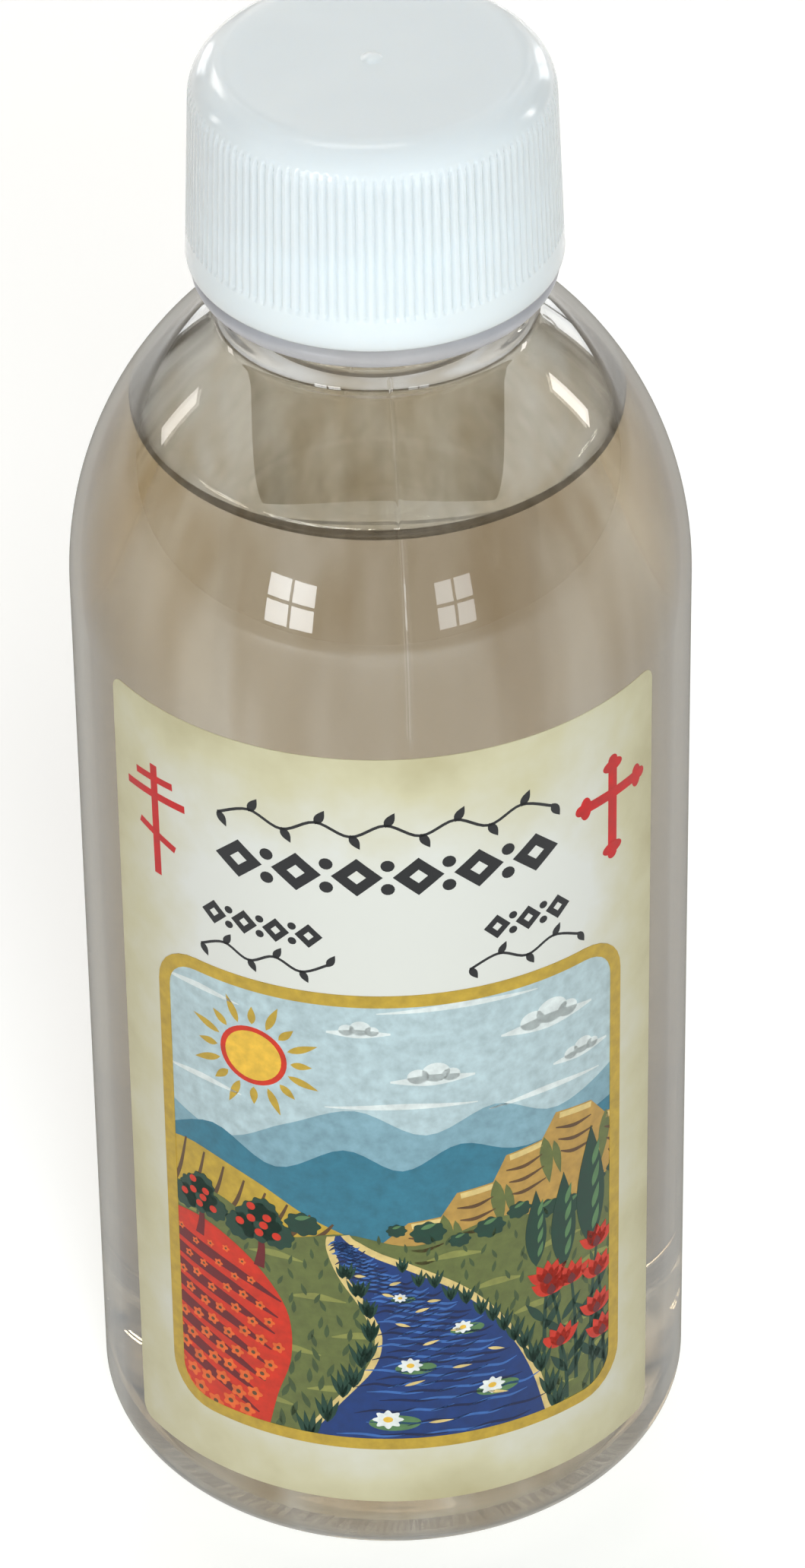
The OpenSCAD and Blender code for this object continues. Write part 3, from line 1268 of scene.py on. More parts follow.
@dataclass
class Wrap:
    """Lays flat shapes on the bottle's side, on narrow facets that all layers share."""

    radius: float
    facet: float = 0.5

    BACK_ZONE = 1
    HAIR = 1e-6
    DIGITS = 5

    @staticmethod
    def half(shape: Loop, a: float, b: float, c: float) -> Loop:
        """Keeps the part of a convex shape where a * x + b * z <= c."""
        kept = []
        for start, end in zip(shape, shape[1:] + shape[:1]):
            d0 = a * start[0] + b * start[1] - c
            d1 = a * end[0] + b * end[1] - c
            if d0 <= 0:
                kept.append(start)
            if d0 * d1 < 0:
                share = d0 / (d0 - d1)
                across, up = end[0] - start[0], end[1] - start[1]
                kept.append((start[0] + across * share, start[1] + up * share))
        return kept

    @staticmethod
    def triangles(patch: Patch) -> Iterator[Loop]:
        """Cuts a patch into triangles that run anticlockwise."""
        loops = [patch.outer, *patch.holes]
        flat = [point for loop in loops for point in loop]
        for corners in tessellate_polygon([[Vector((x, z, 0.0)) for x, z in loop] for loop in loops]):
            p, q, r = (flat[i] for i in corners)
            area = (q[0] - p[0]) * (r[1] - p[1]) - (r[0] - p[0]) * (q[1] - p[1])
            if area:
                yield [p, q, r] if area > 0 else [p, r, q]

    def cells(self, patch: Patch, window: Optional[Loop]) -> Iterator[Loop]:
        """Cuts a patch along the window's edge and the facets.

        Args:
            patch: the flat shape.
            window: convex loop, anticlockwise, that it stays in, or nothing.

        Yields:
            Convex cells that each lie on one facet.
        """
        for cell in self.triangles(patch):
            if window:
                for start, end in zip(window, window[1:] + window[:1]):
                    a, b = end[1] - start[1], start[0] - end[0]
                    cell = self.half(cell, a, b, a * start[0] + b * start[1])
            if len(cell) < 3:
                continue
            low = math.floor(min(x for x, _ in cell) / self.facet)
            high = math.ceil(max(x for x, _ in cell) / self.facet)
            for column in range(low, high):
                part = self.half(cell, -1.0, 0.0, -column * self.facet)
                part = self.half(part, 1.0, 0.0, (column + 1) * self.facet)
                if len(part) >= 3:
                    yield part

    def place(self, x: float, z: float, r: float) -> tuple[float, float, float]:
        """Finds the place of a label point at a radius, on its facet."""
        column = math.floor(x / self.facet + self.HAIR)
        share = x / self.facet - column
        first, last = column * self.facet / self.radius, (column + 1) * self.facet / self.radius
        across = math.sin(first) * (1 - share) + math.sin(last) * share
        ahead = math.cos(first) * (1 - share) + math.cos(last) * share
        return r * across, -r * ahead, z

    def film(
        self, name: str, patches: Sequence[Patch], back: float, front: float, window: Optional[Loop]
    ) -> bpy.types.Mesh:
        """Makes a thin closed film from flat shapes, with its back in a zone of its own.

        Args:
            name: name of the mesh.
            patches: the flat shapes.
            back: radius of its back.
            front: radius of its front.
            window: convex loop that it stays in, or nothing.

        Returns:
            The film's mesh.
        """
        places: list[Point] = []
        fronts = []
        for patch in patches:
            marks: dict[Point, int] = {}
            for cell in self.cells(patch, window):
                face = []
                for x, z in cell:
                    mark = (round(x, self.DIGITS), round(z, self.DIGITS))
                    number = marks.setdefault(mark, len(places))
                    if number == len(places):
                        places.append((x, z))
                    if number not in face:
                        face.append(number)
                if len(face) >= 3:
                    fronts.append(face)
        count = len(places)
        draft = MeshDraft()
        for r in (front, back):
            draft.points += [self.place(x, z, r) for x, z in places]
        edges = {(a, b) for face in fronts for a, b in zip(face, face[1:] + face[:1])}
        sides = [[a, a + count, b + count, b] for a, b in sorted(edges) if (b, a) not in edges]
        draft.faces = fronts + [[i + count for i in reversed(face)] for face in fronts] + sides
        draft.zones = [0] * len(fronts) + [self.BACK_ZONE] * len(fronts) + [0] * len(sides)
        return draft.mesh(name)


@dataclass
class Label:
    """Paper label with its printed crosses, ornaments, gold frame and landscape."""

    radius: float
    low: float
    high: float
    width: float = 53.0
    corner: float = 1.3
    paper_back: float = -0.02
    paper_front: float = 0.05
    first_ink: float = 0.055
    ink_step: float = 0.0045
    frame_low: Point = (-21.5, 12.9)
    frame_high: Point = (22.1, 63.7)
    frame_line: float = 1.25
    frame_corner: float = 4.3
    finishes: dict[InkColour, bpy.types.Material] = field(default_factory=dict)

    @property
    def window(self) -> Loop:
        """Loop along the middle of the frame's line, which the picture stays in."""
        half = self.frame_line / 2
        low = (self.frame_low[0] + half, self.frame_low[1] + half)
        high = (self.frame_high[0] - half, self.frame_high[1] - half)
        return Pen.rounded_box(low, high, self.frame_corner - half)

    def ink(
        self, name: str, loops: Sequence[Loop], colour: InkColour, layer: int, inside: bool = True
    ) -> None:
        """Prints shapes in one colour.

        Args:
            name: what the shapes are.
            loops: their outlines.
            colour: the ink.
            layer: how many inks lie under it.
            inside: whether the picture's window trims them.
        """
        self.print_patches(name, [Patch(loop) for loop in loops], colour, layer, inside)

    def print_patches(
        self, name: str, patches: Sequence[Patch], colour: InkColour, layer: int, inside: bool
    ) -> None:
        """Prints patches, which may have holes, in one colour.

        Args:
            name: what the patches are.
            patches: the flat shapes.
            colour: the ink.
            layer: how many inks lie under it.
            inside: whether the picture's window trims them.
        """
        if colour not in self.finishes:
            self.finishes[colour] = PrintedInk(colour).material()
        back = self.radius + self.paper_front - self.ink_step
        front = self.radius + self.first_ink + self.ink_step * layer
        window = self.window if inside else None
        mesh = Wrap(self.radius).film(name, patches, back, front, window)
        mesh.polygons.foreach_set("material_index", [0] * len(mesh.polygons))
        make_piece("ink_" + name, mesh, [self.finishes[colour]], Body.BOTTLE)

    def sheet(self) -> None:
        """Cuts the paper with its rounded corners."""
        half = self.width / 2
        patch = Patch(Pen.rounded_box((-half, self.low), (half, self.high), self.corner))
        back, front = self.radius + self.paper_back, self.radius + self.paper_front
        mesh = Wrap(self.radius).film("label_sheet", [patch], back, front, None)
        papers = [AgedPaper().material(), GummedBack().material()]
        make_piece("label_sheet", mesh, papers, Body.BOTTLE, "label")

    def crosses(self) -> None:
        """Prints the three-bar cross on the left and the budded cross on the right."""
        red = InkColour.CROSS_RED
        self.ink("cross_left_post", [Pen.bar((-21.1, 70.7), (-21.25, 82.0), 0.8)], red, 0, False)
        bars = [
            Pen.bar((-23.4, 80.5), (-19.1, 80.7), 0.7),
            Pen.bar((-24.6, 78.8), (-17.8, 79.0), 0.75),
            Pen.bar((-23.1, 75.5), (-19.0, 74.2), 0.7),
        ]
        self.ink("cross_left_bars", bars, red, 1, False)
        middle, arm_z, line, knob = 21.0, 78.4, 1.05, 0.55
        tips = [(17.9, arm_z, 0), (24.1, arm_z, 0), (middle, 81.3, 90), (middle, 72.7, 90)]
        self.ink("cross_right_post", [Pen.bar((middle, 72.6), (middle, 81.4), line)], red, 0, False)
        self.ink("cross_right_arms", [Pen.bar((17.8, arm_z), (24.2, arm_z), line)], red, 1, False)
        buds, knobs = [], []
        for x, z, turn in tips:
            buds.append(Pen.ellipse((x, z), 0.62, 1.15, turn))
            outward = knob if (x > middle or z > arm_z) else -knob
            place = (x + outward, z) if turn == 0 else (x, z + outward)
            knobs.append(Pen.ellipse(place, knob, knob, steps=16))
        self.ink("cross_right_buds", buds, red, 2, False)
        self.ink("cross_right_knobs", knobs, red, 3, False)

    def vine(self, first: float, last: float, z: float, swing: float, line: float) -> list[Loop]:
        """Draws a thin wavy stem with leaves on both sides.

        Args:
            first: where it starts across the label.
            last: where it ends.
            z: height of its middle.
            swing: how far it swings up and down.
            line: half width of the stem.

        Returns:
            The loops of stem and leaves.
        """
        half_wave = 2.1 * swing
        count = max(2, round((last - first) / half_wave))
        step = (last - first) / count
        stem, leaves = [], []
        for i in range(count + 1):
            x = first + step * i
            side = 1 if i % 2 else -1
            stem.append((x, z + side * swing * 0.45, line))
            leaves.append(Pen.leaf((x, z + side * swing * 0.3), swing * 1.25, swing * 0.6, side * 62))
        return [Pen.brush(stem), *leaves]

    def lozenges(self, first: float, last: float, z: float, height: float) -> list[Patch]:
        """Draws a bold row of pierced lozenges with small diamonds between them."""
        count = max(2, round((last - first) / (height * 1.25)))
        step = (last - first) / count
        patches = []
        for i in range(count):
            x = first + step * (i + 0.5)
            wide, tall = step * 0.42, height / 2
            outer = [(x + wide, z), (x, z + tall), (x - wide, z), (x, z - tall)]
            in_wide, in_tall = wide * 0.36, tall * 0.36
            hole = [(x + in_wide, z), (x, z - in_tall), (x - in_wide, z), (x, z + in_tall)]
            patches.append(Patch(outer, (hole,)))
            if i:
                between = x - step / 2
                for up in (0.62, -0.62):
                    small = height * 0.15
                    centre = z + up * tall
                    patches.append(Patch(Pen.ellipse((between, centre), small, small, steps=14)))
        return patches

    def ornaments(self) -> None:
        """Prints black vines and lozenges above the picture."""
        thin = self.vine(-14.4, 14.4, 81.0, 1.35, 0.14)
        thin += self.vine(-16.5, -5.0, 66.2, 1.15, 0.13)
        thin += self.vine(6.9, 17.1, 66.2, 1.15, 0.13)
        self.ink("vines", thin, InkColour.BLACK, 0, False)
        bold = self.lozenges(-15.1, 15.4, 76.2, 3.9)
        bold += self.lozenges(-16.5, -5.1, 69.6, 2.5)
        bold += self.lozenges(7.9, 16.4, 69.6, 2.5)
        self.print_patches("lozenges", bold, InkColour.BLACK, 1, False)

    def frame(self) -> None:
        """Prints the gold frame round the picture."""
        line = self.frame_line
        inner_low = (self.frame_low[0] + line, self.frame_low[1] + line)
        inner_high = (self.frame_high[0] - line, self.frame_high[1] - line)
        outer = Pen.rounded_box(self.frame_low, self.frame_high, self.frame_corner)
        hole = Pen.rounded_box(inner_low, inner_high, self.frame_corner - line)
        self.print_patches("frame", [Patch(outer, (hole[::-1],))], InkColour.GOLD, 12, False)

    def sky(self) -> None:
        """Prints the sky, the sun with its rays and a few clouds."""
        self.ink("sky", [self.window], InkColour.SKY, 0)
        sun = (-11.8, 55.4)
        rays = []
        for i in range(16):
            turn = 22.5 * i
            angle = math.radians(turn)
            start = (sun[0] + 3.4 * math.cos(angle), sun[1] + 3.4 * math.sin(angle))
            rays.append(Pen.leaf(start, 2.9 if i % 2 else 1.9, 0.75, turn))
        self.ink("sun_rays", rays, InkColour.GOLD, 1)
        self.ink("sun_ring", [Pen.ellipse(sun, 3.1, 3.1, steps=40)], InkColour.VERMILION, 1)
        self.ink("sun_disc", [Pen.ellipse(sun, 2.6, 2.6, steps=36)], InkColour.SUN, 2)
        clouds = []
        for x, z, size in ((14.0, 57.8, 1.0), (3.6, 54.4, 0.8), (17.4, 52.8, 0.65), (-2.6, 59.6, 0.6)):
            base = [(x - 4.4 * size, z, 0.1), (x, z, 0.75 * size), (x + 4.6 * size, z, 0.1)]
            clouds.append(Pen.brush(base))
            for dx, dz, r in ((-1.5, 0.6, 1.15), (0.4, 1.0, 1.5), (2.0, 0.5, 1.0)):
                puff = (x + dx * size, z + dz * size)
                clouds.append(Pen.ellipse(puff, r * size, 0.85 * r * size, steps=20))
        streaks = (
            (14.0, 50.2, 5.5), (1.0, 51.4, 6.5), (-17.0, 50.8, 4.0), (6.0, 61.8, 7.0), (-17.0, 60.6, 4.0),
        )
        for x, z, long in streaks:
            clouds.append(Pen.brush([(x - long, z, 0.05), (x, z + 0.3, 0.32), (x + long, z - 0.1, 0.05)]))
        self.ink("clouds", clouds, InkColour.CLOUD, 1)

    @staticmethod
    def land(line: Sequence[Sequence[float]], floor: float) -> Loop:
        """Closes the ground under a skyline, down to a floor height."""
        skyline = [tuple(point[:2]) for point in reversed(line)]
        return [(line[0][0], floor), (line[-1][0], floor), *skyline]

    def hills(self) -> None:
        """Prints two far ridges, a sown hill on the left and a terraced one on the right."""
        floor = self.frame_low[1] + 18
        far = [
            (-22, 47.6), (-15, 45.6), (-9, 48.8), (-3, 51.2), (3, 48.4), (9, 50.6), (15, 48.0), (22.6, 50.4),
        ]
        self.ink("far_ridge", [self.land(Pen.curve(far), floor)], InkColour.MIST, 1)
        near = [
            (-22, 43.2), (-16, 46.4), (-10, 43.8), (-4, 46.8), (1, 44.6), (6, 47.0), (12, 45.0), (22.6, 46.4),
        ]
        self.ink("near_ridge", [self.land(Pen.curve(near), floor)], InkColour.TEAL, 2)
        sown = [(-22, 42.4), (-18, 43.2), (-12, 41.6), (-7, 38.8), (-2, 36.4)]
        self.ink("sown_hill", [self.land(Pen.curve(sown), floor)], InkColour.GOLD, 3)
        rows = []
        for i in range(9):
            x = -21.0 + 2.0 * i
            row = [(x, 44.0 - 0.7 * i, 0.1), (x - 0.9, 39.6 - 0.3 * i, 0.2), (x - 2.6, 35.6, 0.3)]
            rows.append(Pen.brush(row))
        self.ink("sown_rows", rows, InkColour.BROWN, 4)
        steps = [
            (-1.0, 36.4), (1.4, 38.8), (4.2, 39.2), (5.6, 41.6), (8.8, 42.0), (10.0, 44.6), (13.4, 45.0),
            (14.8, 47.4), (18.6, 46.8), (20.2, 44.6), (22.6, 44.0),
        ]
        self.ink("terraced_hill", [self.land(steps, floor)], InkColour.OCHRE, 3)
        shadows, lights, strata = [], [], []
        for a, b in zip(steps, steps[1:]):
            dx, dz = b[0] - a[0], b[1] - a[1]
            if abs(dz) > 0.8 * dx:
                foot = a if dz > 0 else b
                turn = -84 if dz > 0 else -96
                shadows.append(Pen.leaf((foot[0] + 0.2, foot[1] + 0.2), 5.4, 1.3, turn))
                shadows.append(Pen.leaf((foot[0] + 1.2, foot[1] - 0.6), 4.0, 0.8, -80))
                continue
            lights.append(Pen.bar((a[0] + 0.1 * dx, a[1] + 0.1 * dz - 0.45), (b[0], b[1] - 0.45), 0.6))
            for k in range(3):
                drop = 1.7 + 1.4 * k
                strata.append(Pen.brush([
                    (a[0] + 0.25 * k, a[1] - drop, 0.06),
                    (a[0] + 0.5 * dx, a[1] + 0.5 * dz - drop - 0.3, 0.2),
                    (b[0] + 0.2 * k, b[1] - drop + 0.1, 0.06),
                ]))
        self.ink("terrace_lights", lights, InkColour.PALE_OCHRE, 4)
        self.ink("terrace_shadows", shadows, InkColour.OLIVE, 4)
        self.ink("terrace_strata", strata, InkColour.BROWN, 5)

    RIVER_LINE = (
        (-4.6, 37.2, 0.25), (-4.2, 35.9, 0.8), (-2.6, 33.7, 1.7), (0.2, 30.9, 2.9), (2.8, 27.5, 4.3),
        (4.2, 23.4, 6.0), (4.4, 18.4, 8.4), (3.4, 11.0, 11.6),
    )

    def meadow(self) -> None:
        """Prints the olive ground with its strokes, grass and bushes."""
        ground = [
            (-22, 37.4), (-16, 38.6), (-10, 36.2), (-4, 37.4), (2, 36.2), (9, 38.0), (15, 36.6), (22.6, 38.4),
        ]
        self.ink("meadow", [self.land(Pen.curve(ground), self.frame_low[1])], InkColour.OLIVE, 5)
        strokes, grass = [], []
        for i in range(26):
            x = -20.0 + 41.0 * ((i * 0.618) % 1)
            z = 35.4 - 0.8 * i
            stroke = [(x - 2.4, z - 0.2, 0.05), (x, z + 0.2, 0.38), (x + 2.6, z - 0.1, 0.05)]
            strokes.append(Pen.brush(stroke))
        self.ink("meadow_strokes", strokes, InkColour.FERN, 6)
        for row in range(11):
            for k in range(30):
                x = -21.4 + 1.48 * k + 0.7 * math.sin(3.1 * row + 1.3 * k)
                z = 35.6 - 2.15 * row + 0.8 * math.sin(1.9 * k + row)
                lean = 90 + 24 * math.sin(2.7 * k + row)
                grass.append(Pen.leaf((x, z), 1.1 + 0.1 * row, 0.32 + 0.03 * row, lean, 4))
        self.ink("grass", grass, InkColour.MOSS, 7)
        bushes, crests = [], []
        for k in range(17):
            x = -21.2 + 2.7 * k
            z = 37.2 + 0.9 * math.sin(1.7 * k)
            size = 1.3 + 0.4 * math.sin(2.9 * k)
            if abs(x + 4.4) > 2.6:
                bushes.append(Pen.flower((x, z), size, 8, 0.16, 0.8))
                crests.append(Pen.leaf((x - 0.4 * size, z + 0.3 * size), 0.9 * size, 0.3 * size, 20))
        self.ink("bushes", bushes, InkColour.LEAF, 7)
        self.ink("bush_crests", crests, InkColour.SAGE, 8)

    def red_field(self) -> None:
        """Prints the field of red flowers on the left, with its furrows."""
        field_line = [
            (-22, 34.6), (-17.2, 35.0), (-12.6, 32.6), (-9.4, 28.0),
            (-9.0, 22.6), (-10.4, 17.6), (-11.6, 12.0),
        ]
        edge = Pen.curve(field_line)
        self.ink("red_field", [edge + [(-22.0, 12.0)]], InkColour.VERMILION, 8)
        furrows = []
        for i in range(8):
            share = i / 7
            furrows.append(Pen.brush([
                (-9.8 - 2.4 * share, 28.6 - 13.6 * share, 0.08),
                (-14.2 - 1.8 * share, 30.6 - 13.4 * share, 0.5),
                (-22.0, 32.8 - 13.0 * share, 0.66),
            ]))
        self.ink("field_furrows", furrows, InkColour.MAROON, 9)
        blooms, hearts = [], []
        for row in range(9):
            for k in range(8):
                x = -10.2 - 1.62 * k - 0.8 * (row % 2)
                z = 32.4 - 2.2 * row + 0.5 * math.sin(2.3 * k + row)
                size = 0.4 + 0.06 * row
                if x < -9.9 - 0.035 * (z - 24) ** 2:
                    blooms.append(Pen.flower((x, z), size, 5, 0.35))
                    hearts.append(Pen.ellipse((x, z), 0.3 * size, 0.3 * size, steps=8))
        self.ink("field_blooms", blooms, InkColour.ORANGE, 10)
        self.ink("field_hearts", hearts, InkColour.BROWN, 11)

    def river(self) -> None:
        """Prints the winding river with its banks, ripples, glints and reeds."""
        bank = [(x, z, half + 0.75) for x, z, half in self.RIVER_LINE]
        self.ink("river_bank", [Pen.brush(bank)], InkColour.PALE_OCHRE, 8)
        self.ink("river", [Pen.brush(self.RIVER_LINE)], InkColour.RIVER, 9)
        line = Pen.curve(self.RIVER_LINE)
        ripples, depths = [], []
        for i in range(5, len(line) - 1):
            x, z, half = line[i]
            for k in range(4):
                share = ((i * 0.618 + k * 0.25) % 1) * 1.5 - 0.75
                place = x + share * half
                long = 0.55 + 0.24 * half
                tilt = 0.22 * math.sin(i * 1.7 + k)
                stroke = [
                    (place - long, z - tilt, 0.03),
                    (place - long * 0.3, z + 0.28, 0.13),
                    (place + long * 0.4, z + 0.05, 0.13),
                    (place + long, z + 0.3 + tilt, 0.03),
                ]
                (ripples if (i + k) % 2 else depths).append(Pen.brush(stroke, 4))
        self.ink("river_ripples", ripples, InkColour.RIPPLE, 10)
        self.ink("river_depths", depths, InkColour.DEPTH, 10)
        glints, reeds = [], []
        for i in range(14):
            x, z, half = line[14 + 2 * i]
            place = x + half * (((i * 0.618) % 1) * 1.5 - 0.75)
            glints.append(Pen.leaf((place, z), 0.7 + 0.16 * half, 0.34, 20 * math.sin(2.1 * i)))
            for side in (-1, 1):
                foot = (x + side * (half + 0.5), z + 0.5 * math.sin(3.0 * i + side))
                for turn in (68, 82, 97, 112):
                    tall = 1.3 + 0.2 * half + 0.3 * math.sin(turn + i)
                    reeds.append(Pen.leaf(foot, tall, 0.3 + 0.03 * half, turn, 5))
        self.ink("river_glints", glints, InkColour.PALE_OCHRE, 11)
        self.ink("reeds", reeds, InkColour.LEAF, 11)

    def trees(self) -> None:
        """Prints cypresses on the right bank and fruit trees on the left."""
        cypresses, lights = [], []
        for x, base, tall in ((18.6, 30.6, 13.4), (15.6, 29.6, 10.8), (12.8, 31.0, 8.6)):
            cypresses.append(Pen.leaf((x, base), tall, tall * 0.24, 90, 12))
            for k in range(4):
                foot = (x + 0.2, base + tall * (0.12 + 0.18 * k))
                lights.append(Pen.leaf(foot, tall * 0.2, tall * 0.05, 74))
        trunks, crowns, fruits = [], [], []
        for x, base, size in ((-11.8, 34.4, 1.0), (-17.8, 35.2, 0.9)):
            trunk = [(x, base - 2.4 * size, 0.5 * size), (x + 0.3, base, 0.32 * size), (x, base + 2, 0.2)]
            trunks.append(Pen.brush(trunk))
            for dx, dz, r in ((0, 2.6, 2.3), (-1.7, 1.6, 1.6), (1.8, 1.7, 1.6), (0.5, 4.0, 1.5)):
                crowns.append(Pen.flower((x + dx * size, base + dz * size), r * size, 9, 0.14))
            for k in range(7):
                turn = 2.4 * k
                reach = 0.55 + 0.3 * k
                up = 2.4 + reach * 0.8 * math.sin(turn)
                place = (x + reach * size * math.cos(turn), base + up * size)
                fruits.append(Pen.ellipse(place, 0.42 * size, 0.42 * size, steps=14))
        self.ink("tree_trunks", trunks, InkColour.MAROON, 9)
        self.ink("tree_crowns", cypresses + crowns, InkColour.LEAF, 10)
        self.ink("tree_lights", lights, InkColour.SAGE, 11)
        self.ink("tree_fruits", fruits, InkColour.VERMILION, 11)

    def flowers(self) -> None:
        """Prints the red flowers on the right bank and the lilies on the water."""
        stems, petals, hearts = [], [], []
        plants = (
            (20.2, 17.6, 9.4, -4), (18.8, 15.6, 7.2, 3), (17.0, 17.6, 10.2, -3), (18.6, 18.8, 11.6, 4),
            (15.4, 19.6, 8.0, -6), (16.0, 15.8, 5.4, -4), (20.4, 14.8, 5.0, -2), (13.6, 22.4, 6.6, 2),
        )
        for x, base, tall, lean in plants:
            top = (x + lean * 0.18, base + tall)
            stem = [(x, base - 1.5, 0.2), (x + lean * 0.04, base + tall * 0.5, 0.17), (*top, 0.13)]
            stems.append(Pen.brush(stem))
            for share, turn in ((0.15, 58), (0.3, 124), (0.5, 50)):
                stems.append(Pen.leaf((x, base + tall * share), 3.2, 0.85, turn))
            for turn in (40, 65, 90, 115, 140):
                petals.append(Pen.leaf((top[0], top[1] - 0.4), 2.6, 1.15, turn))
            hearts.append(Pen.leaf((top[0], top[1] - 0.5), 1.3, 0.9, 90))
        self.ink("flower_stems", stems, InkColour.LEAF, 8)
        self.ink("flower_petals", petals, InkColour.VERMILION, 10)
        self.ink("flower_hearts", hearts, InkColour.MAROON, 11)
        pads, lilies, middles = [], [], []
        places = (
            (6.0, 26.4, 0.8), (0.6, 30.4, 0.55), (8.6, 19.0, 1.05), (1.4, 22.6, 0.95), (-0.6, 16.4, 1.2),
        )
        for x, z, size in places:
            pads.append(Pen.ellipse((x + 0.5 * size, z - 0.35 * size), 1.9 * size, 0.75 * size))
            lilies.append(Pen.flower((x, z), 1.15 * size, 8, 0.3, 0.8))
            middles.append(Pen.ellipse((x, z), 0.36 * size, 0.28 * size, steps=14))
        self.ink("lily_pads", pads, InkColour.SAGE, 10)
        self.ink("lily_petals", lilies, InkColour.LILY, 11)
        self.ink("lily_hearts", middles, InkColour.SUN, 12)

    def build(self) -> None:
        """Builds the paper and prints it, from the lowest ink up."""
        self.sheet()
        self.crosses()
        self.ornaments()
        self.sky()
        self.hills()
        self.meadow()
        self.red_field()
        self.river()
        self.trees()
        self.flowers()
        self.frame()


@dataclass
class Studio:
    """Pale floor, soft lamps and windows, a grey room, and the camera at the photograph's angle."""

    aim: Triple = (0.0, 0.0, 0.07)
    floor_half: float = 3.0
    window_bar: float = 0.02
    window_distance: float = 1.1
    daylight: Triple = (0.95, 0.98, 1.0)
    room_low: Tint = (0.22, 0.21, 0.20, 1.0)
    room_high: Tint = (0.26, 0.25, 0.23, 1.0)
    back_wall: Tint = (0.72, 0.71, 0.68, 1.0)
    camera_place: Triple = (0.0, -0.50950, 0.45795)
    camera_pitch: float = 37.5822
    camera_yaw: float = -0.1752
    camera_roll: float = -0.871
    focal_pixels: float = 9899.2
    picture_height: int = 2063
    sensor: float = 36.0
    bounces: int = 40

    def floor(self) -> None:
        """Lays the floor, which isn't part of the object."""
        h = self.floor_half
        mesh = bpy.data.meshes.new("floor")
        mesh.from_pydata([(-h, -h, 0), (h, -h, 0), (h, h, 0), (-h, h, 0)], [], [(0, 1, 2, 3)])
        mesh.materials.append(PaleFloor().material())
        floor = bpy.data.objects.new("floor", mesh)
        bpy.context.scene.collection.objects.link(floor)

    def place_at(self, azimuth: float, elevation: float, distance: float) -> Vector:
        """Finds a place round the bottle, with azimuth in degrees from the label's front to the right."""
        a, e = math.radians(azimuth), math.radians(elevation)
        way = Vector((math.sin(a) * math.cos(e), -math.cos(a) * math.cos(e), math.sin(e)))
        return Vector(self.aim) + way * distance

    def lamp(
        self, name: str, place: Vector, size: Point, power: float, colour: Triple, mirrored: bool
    ) -> bpy.types.Object:
        """Hangs one soft rectangular lamp that faces the bottle.

        Args:
            name: name of the lamp.
            place: its middle.
            size: its width and height in metres.
            power: its power in watts.
            colour: its linear colour.
            mirrored: whether shiny and clear surfaces show it.

        Returns:
            The lamp.
        """
        light = bpy.data.lights.new(name, "AREA")
        light.shape = "RECTANGLE"
        light.size, light.size_y = size
        light.energy = power
        light.color = colour
        lamp = bpy.data.objects.new(name, light)
        lamp.location = place
        lamp.rotation_euler = (Vector(self.aim) - place).to_track_quat("-Z", "Y").to_euler()
        lamp.visible_glossy = mirrored
        lamp.visible_transmission = mirrored
        bpy.context.scene.collection.objects.link(lamp)
        return lamp

    def window(
        self, name: str, azimuth: float, elevation: float, pane: Point, power: float, mirrored: bool = True
    ) -> None:
        """Hangs four panes with a cross of bars between them.

        Args:
            name: name of the window.
            azimuth: direction of its middle, in degrees.
            elevation: its height over the horizon, in degrees.
            pane: width and height of one pane in metres.
            power: power of all panes in watts.
            mirrored: whether shiny surfaces show it too, and not only clear ones.
        """
        middle = self.place_at(azimuth, elevation, self.window_distance)
        facing = (Vector(self.aim) - middle).to_track_quat("-Z", "Y")
        for column in (-1, 1):
            for row in (-1, 1):
                across = column * (pane[0] + self.window_bar) / 2
                up = row * (pane[1] + self.window_bar) / 2
                place = middle + facing @ Vector((across, up, 0))
                lamp = self.lamp(f"{name}_{column}_{row}", place, pane, power / 4, self.daylight, True)
                lamp.rotation_euler = facing.to_euler()
                lamp.visible_glossy = mirrored

    def lights(self) -> None:
        """Hangs the lamps."""
        warm, cool = (1.0, 0.95, 0.9), (0.86, 0.96, 1.0)
        self.lamp("overhead", Vector((0.0, 0.3, 1.5)), (1.6, 1.6), 2.2, warm, False)
        self.lamp("skylight", Vector((-0.1, 0.3, 1.3)), (0.5, 0.3), 1.2, warm, True)
        self.lamp("high_left", self.place_at(-150, 34, 1.2), (0.25, 0.2), 0.8, warm, True)
        self.lamp("front_key", self.place_at(8, 29, 1.3), (0.4, 0.4), 10.7, cool, False)
        self.lamp("back_fill", self.place_at(176, 14, 1.4), (0.8, 0.5), 5.0, warm, False)
        self.window("window_left", -33, 8, (0.16, 0.12), 2.3)
        self.window("window_right", 27, 9, (0.12, 0.12), 0.9)
        self.window("window_back", 176, 19, (0.06, 0.02), 0.4, False)
        self.window("window_far", -166, 21, (0.04, 0.02), 0.3, False)
        self.window("window_back_left", -152, 9, (0.12, 0.16), 0.9)
        self.window("window_back_right", 147, 10, (0.14, 0.18), 1.2)
        self.lamp("side_left", self.place_at(-112, 16, 1.2), (0.11, 0.26), 0.45, warm, True)
        self.lamp("side_right", self.place_at(113, 18, 1.2), (0.11, 0.26), 0.7, warm, True)

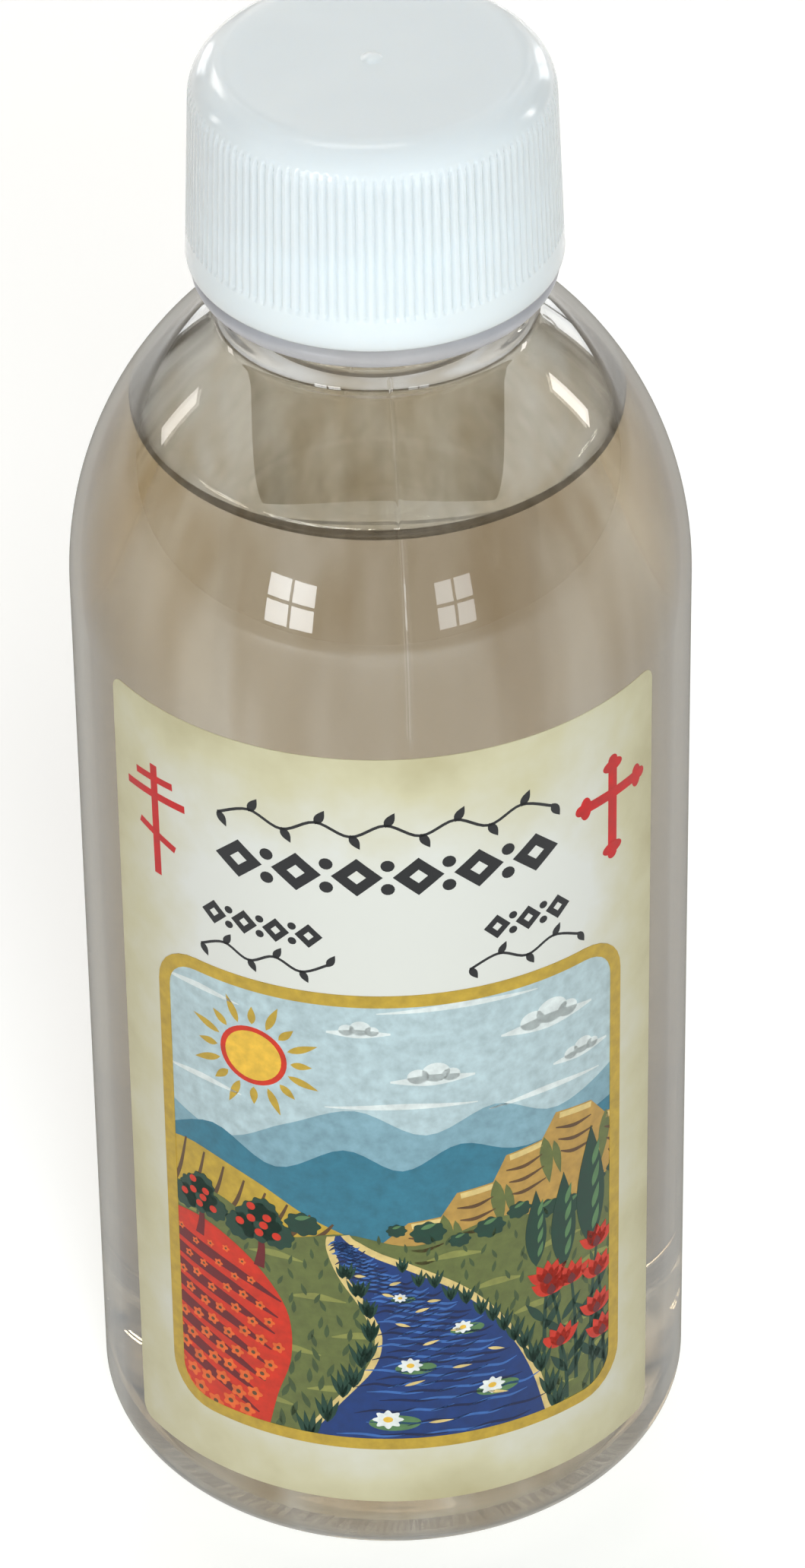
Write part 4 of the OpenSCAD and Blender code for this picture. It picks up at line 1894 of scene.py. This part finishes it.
    def world(self) -> None:
        """Paints the room: streaky grey all round, with a paler wall behind the bottle."""
        world = bpy.data.worlds.new("room")
        bpy.context.scene.world = world
        world.use_nodes = True
        sheet = NodeSheet(world.node_tree)
        background = world.node_tree.nodes["Background"]
        way = sheet.add("ShaderNodeTexCoord").outputs["Generated"]
        height = sheet.spread(sheet.axis(way, "Z"), 0.0, 1.0, (-1.0, 1.0))
        behind = sheet.spread(sheet.axis(way, "Y"), 0.0, 1.0, (0.35, 0.75))
        wall = sheet.add("ShaderNodeMix", {"B": self.back_wall}, data_type="RGBA")
        sheet.join(behind, wall.inputs["Factor"])
        sheet.join(sheet.ramp(height, [(0.62, self.room_low), (0.85, self.room_high)]), wall.inputs["A"])
        sheet.join(wall.outputs["Result"], background.inputs["Color"])
        stretched = sheet.add("ShaderNodeMapping", {"Scale": (1.0, 1.0, 0.15)})
        streaks = sheet.add("ShaderNodeTexNoise", {"Scale": 7.0})
        sheet.join(way, stretched.inputs["Vector"])
        sheet.join(stretched.outputs["Vector"], streaks.inputs["Vector"])
        strength = sheet.spread(streaks.outputs["Fac"], 0.1, 1.9, (0.35, 0.65))
        sheet.join(strength, background.inputs["Strength"])

    def camera(self) -> None:
        """Sets the camera where the photograph was taken from."""
        data = bpy.data.cameras.new("camera")
        data.sensor_fit = "VERTICAL"
        data.sensor_height = self.sensor
        data.lens = self.focal_pixels / self.picture_height * self.sensor
        data.clip_start = 0.01
        camera = bpy.data.objects.new("camera", data)
        turn = Matrix.Rotation(math.radians(self.camera_yaw), 4, "Z")
        tilt = Matrix.Rotation(math.radians(90 - self.camera_pitch), 4, "X")
        roll = Matrix.Rotation(math.radians(self.camera_roll), 4, "Z")
        camera.matrix_world = Matrix.Translation(self.camera_place) @ turn @ tilt @ roll
        bpy.context.scene.collection.objects.link(camera)
        bpy.context.scene.camera = camera

    def build(self) -> None:
        """Sets up the studio and plain colour handling."""
        scene = bpy.context.scene
        scene.view_settings.view_transform = "Standard"
        scene.cycles.max_bounces = self.bounces
        scene.cycles.transmission_bounces = self.bounces
        scene.cycles.glossy_bounces = self.bounces
        scene.cycles.transparent_max_bounces = self.bounces
        self.floor()
        self.lights()
        self.world()
        self.camera()


def corners(bounds: Sequence[Sequence[float]]) -> list[list[float]]:
    """Turns a box into plain lists of numbers."""
    return [[float(value) for value in corner] for corner in bounds]


def dress_liner(nodes: dict) -> None:
    """Gives the liner's own solid its foam finish."""
    liner = nodes["cap_liner"]
    liner.data.materials.clear()
    liner.data.materials.append(SoftFoam().material())
    LOG.info("cap_liner: kept solid on %s", Body.LINER.value)


def main() -> None:
    """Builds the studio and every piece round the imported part."""
    logging.basicConfig(level=logging.INFO, format="%(name)s %(message)s")
    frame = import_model()
    body_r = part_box("bottle")[1].x / MM
    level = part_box("water")[1].z / MM
    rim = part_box("cap_liner")[0].z / MM
    label_low, label_high = (corner.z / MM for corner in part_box("label"))
    climb, dip = 1.5, 1.4
    Studio().build()
    bottle = Bottle(body_r, rim, level + climb)
    bottle.build()
    Water(bottle, level - dip).build()
    Label(body_r, label_low, label_high).build()
    Cap(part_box("cap")[0].z / MM, rim, bottle.thread).build()
    dress_liner(frame["nodes"])


if __name__ == "__main__":
    main()
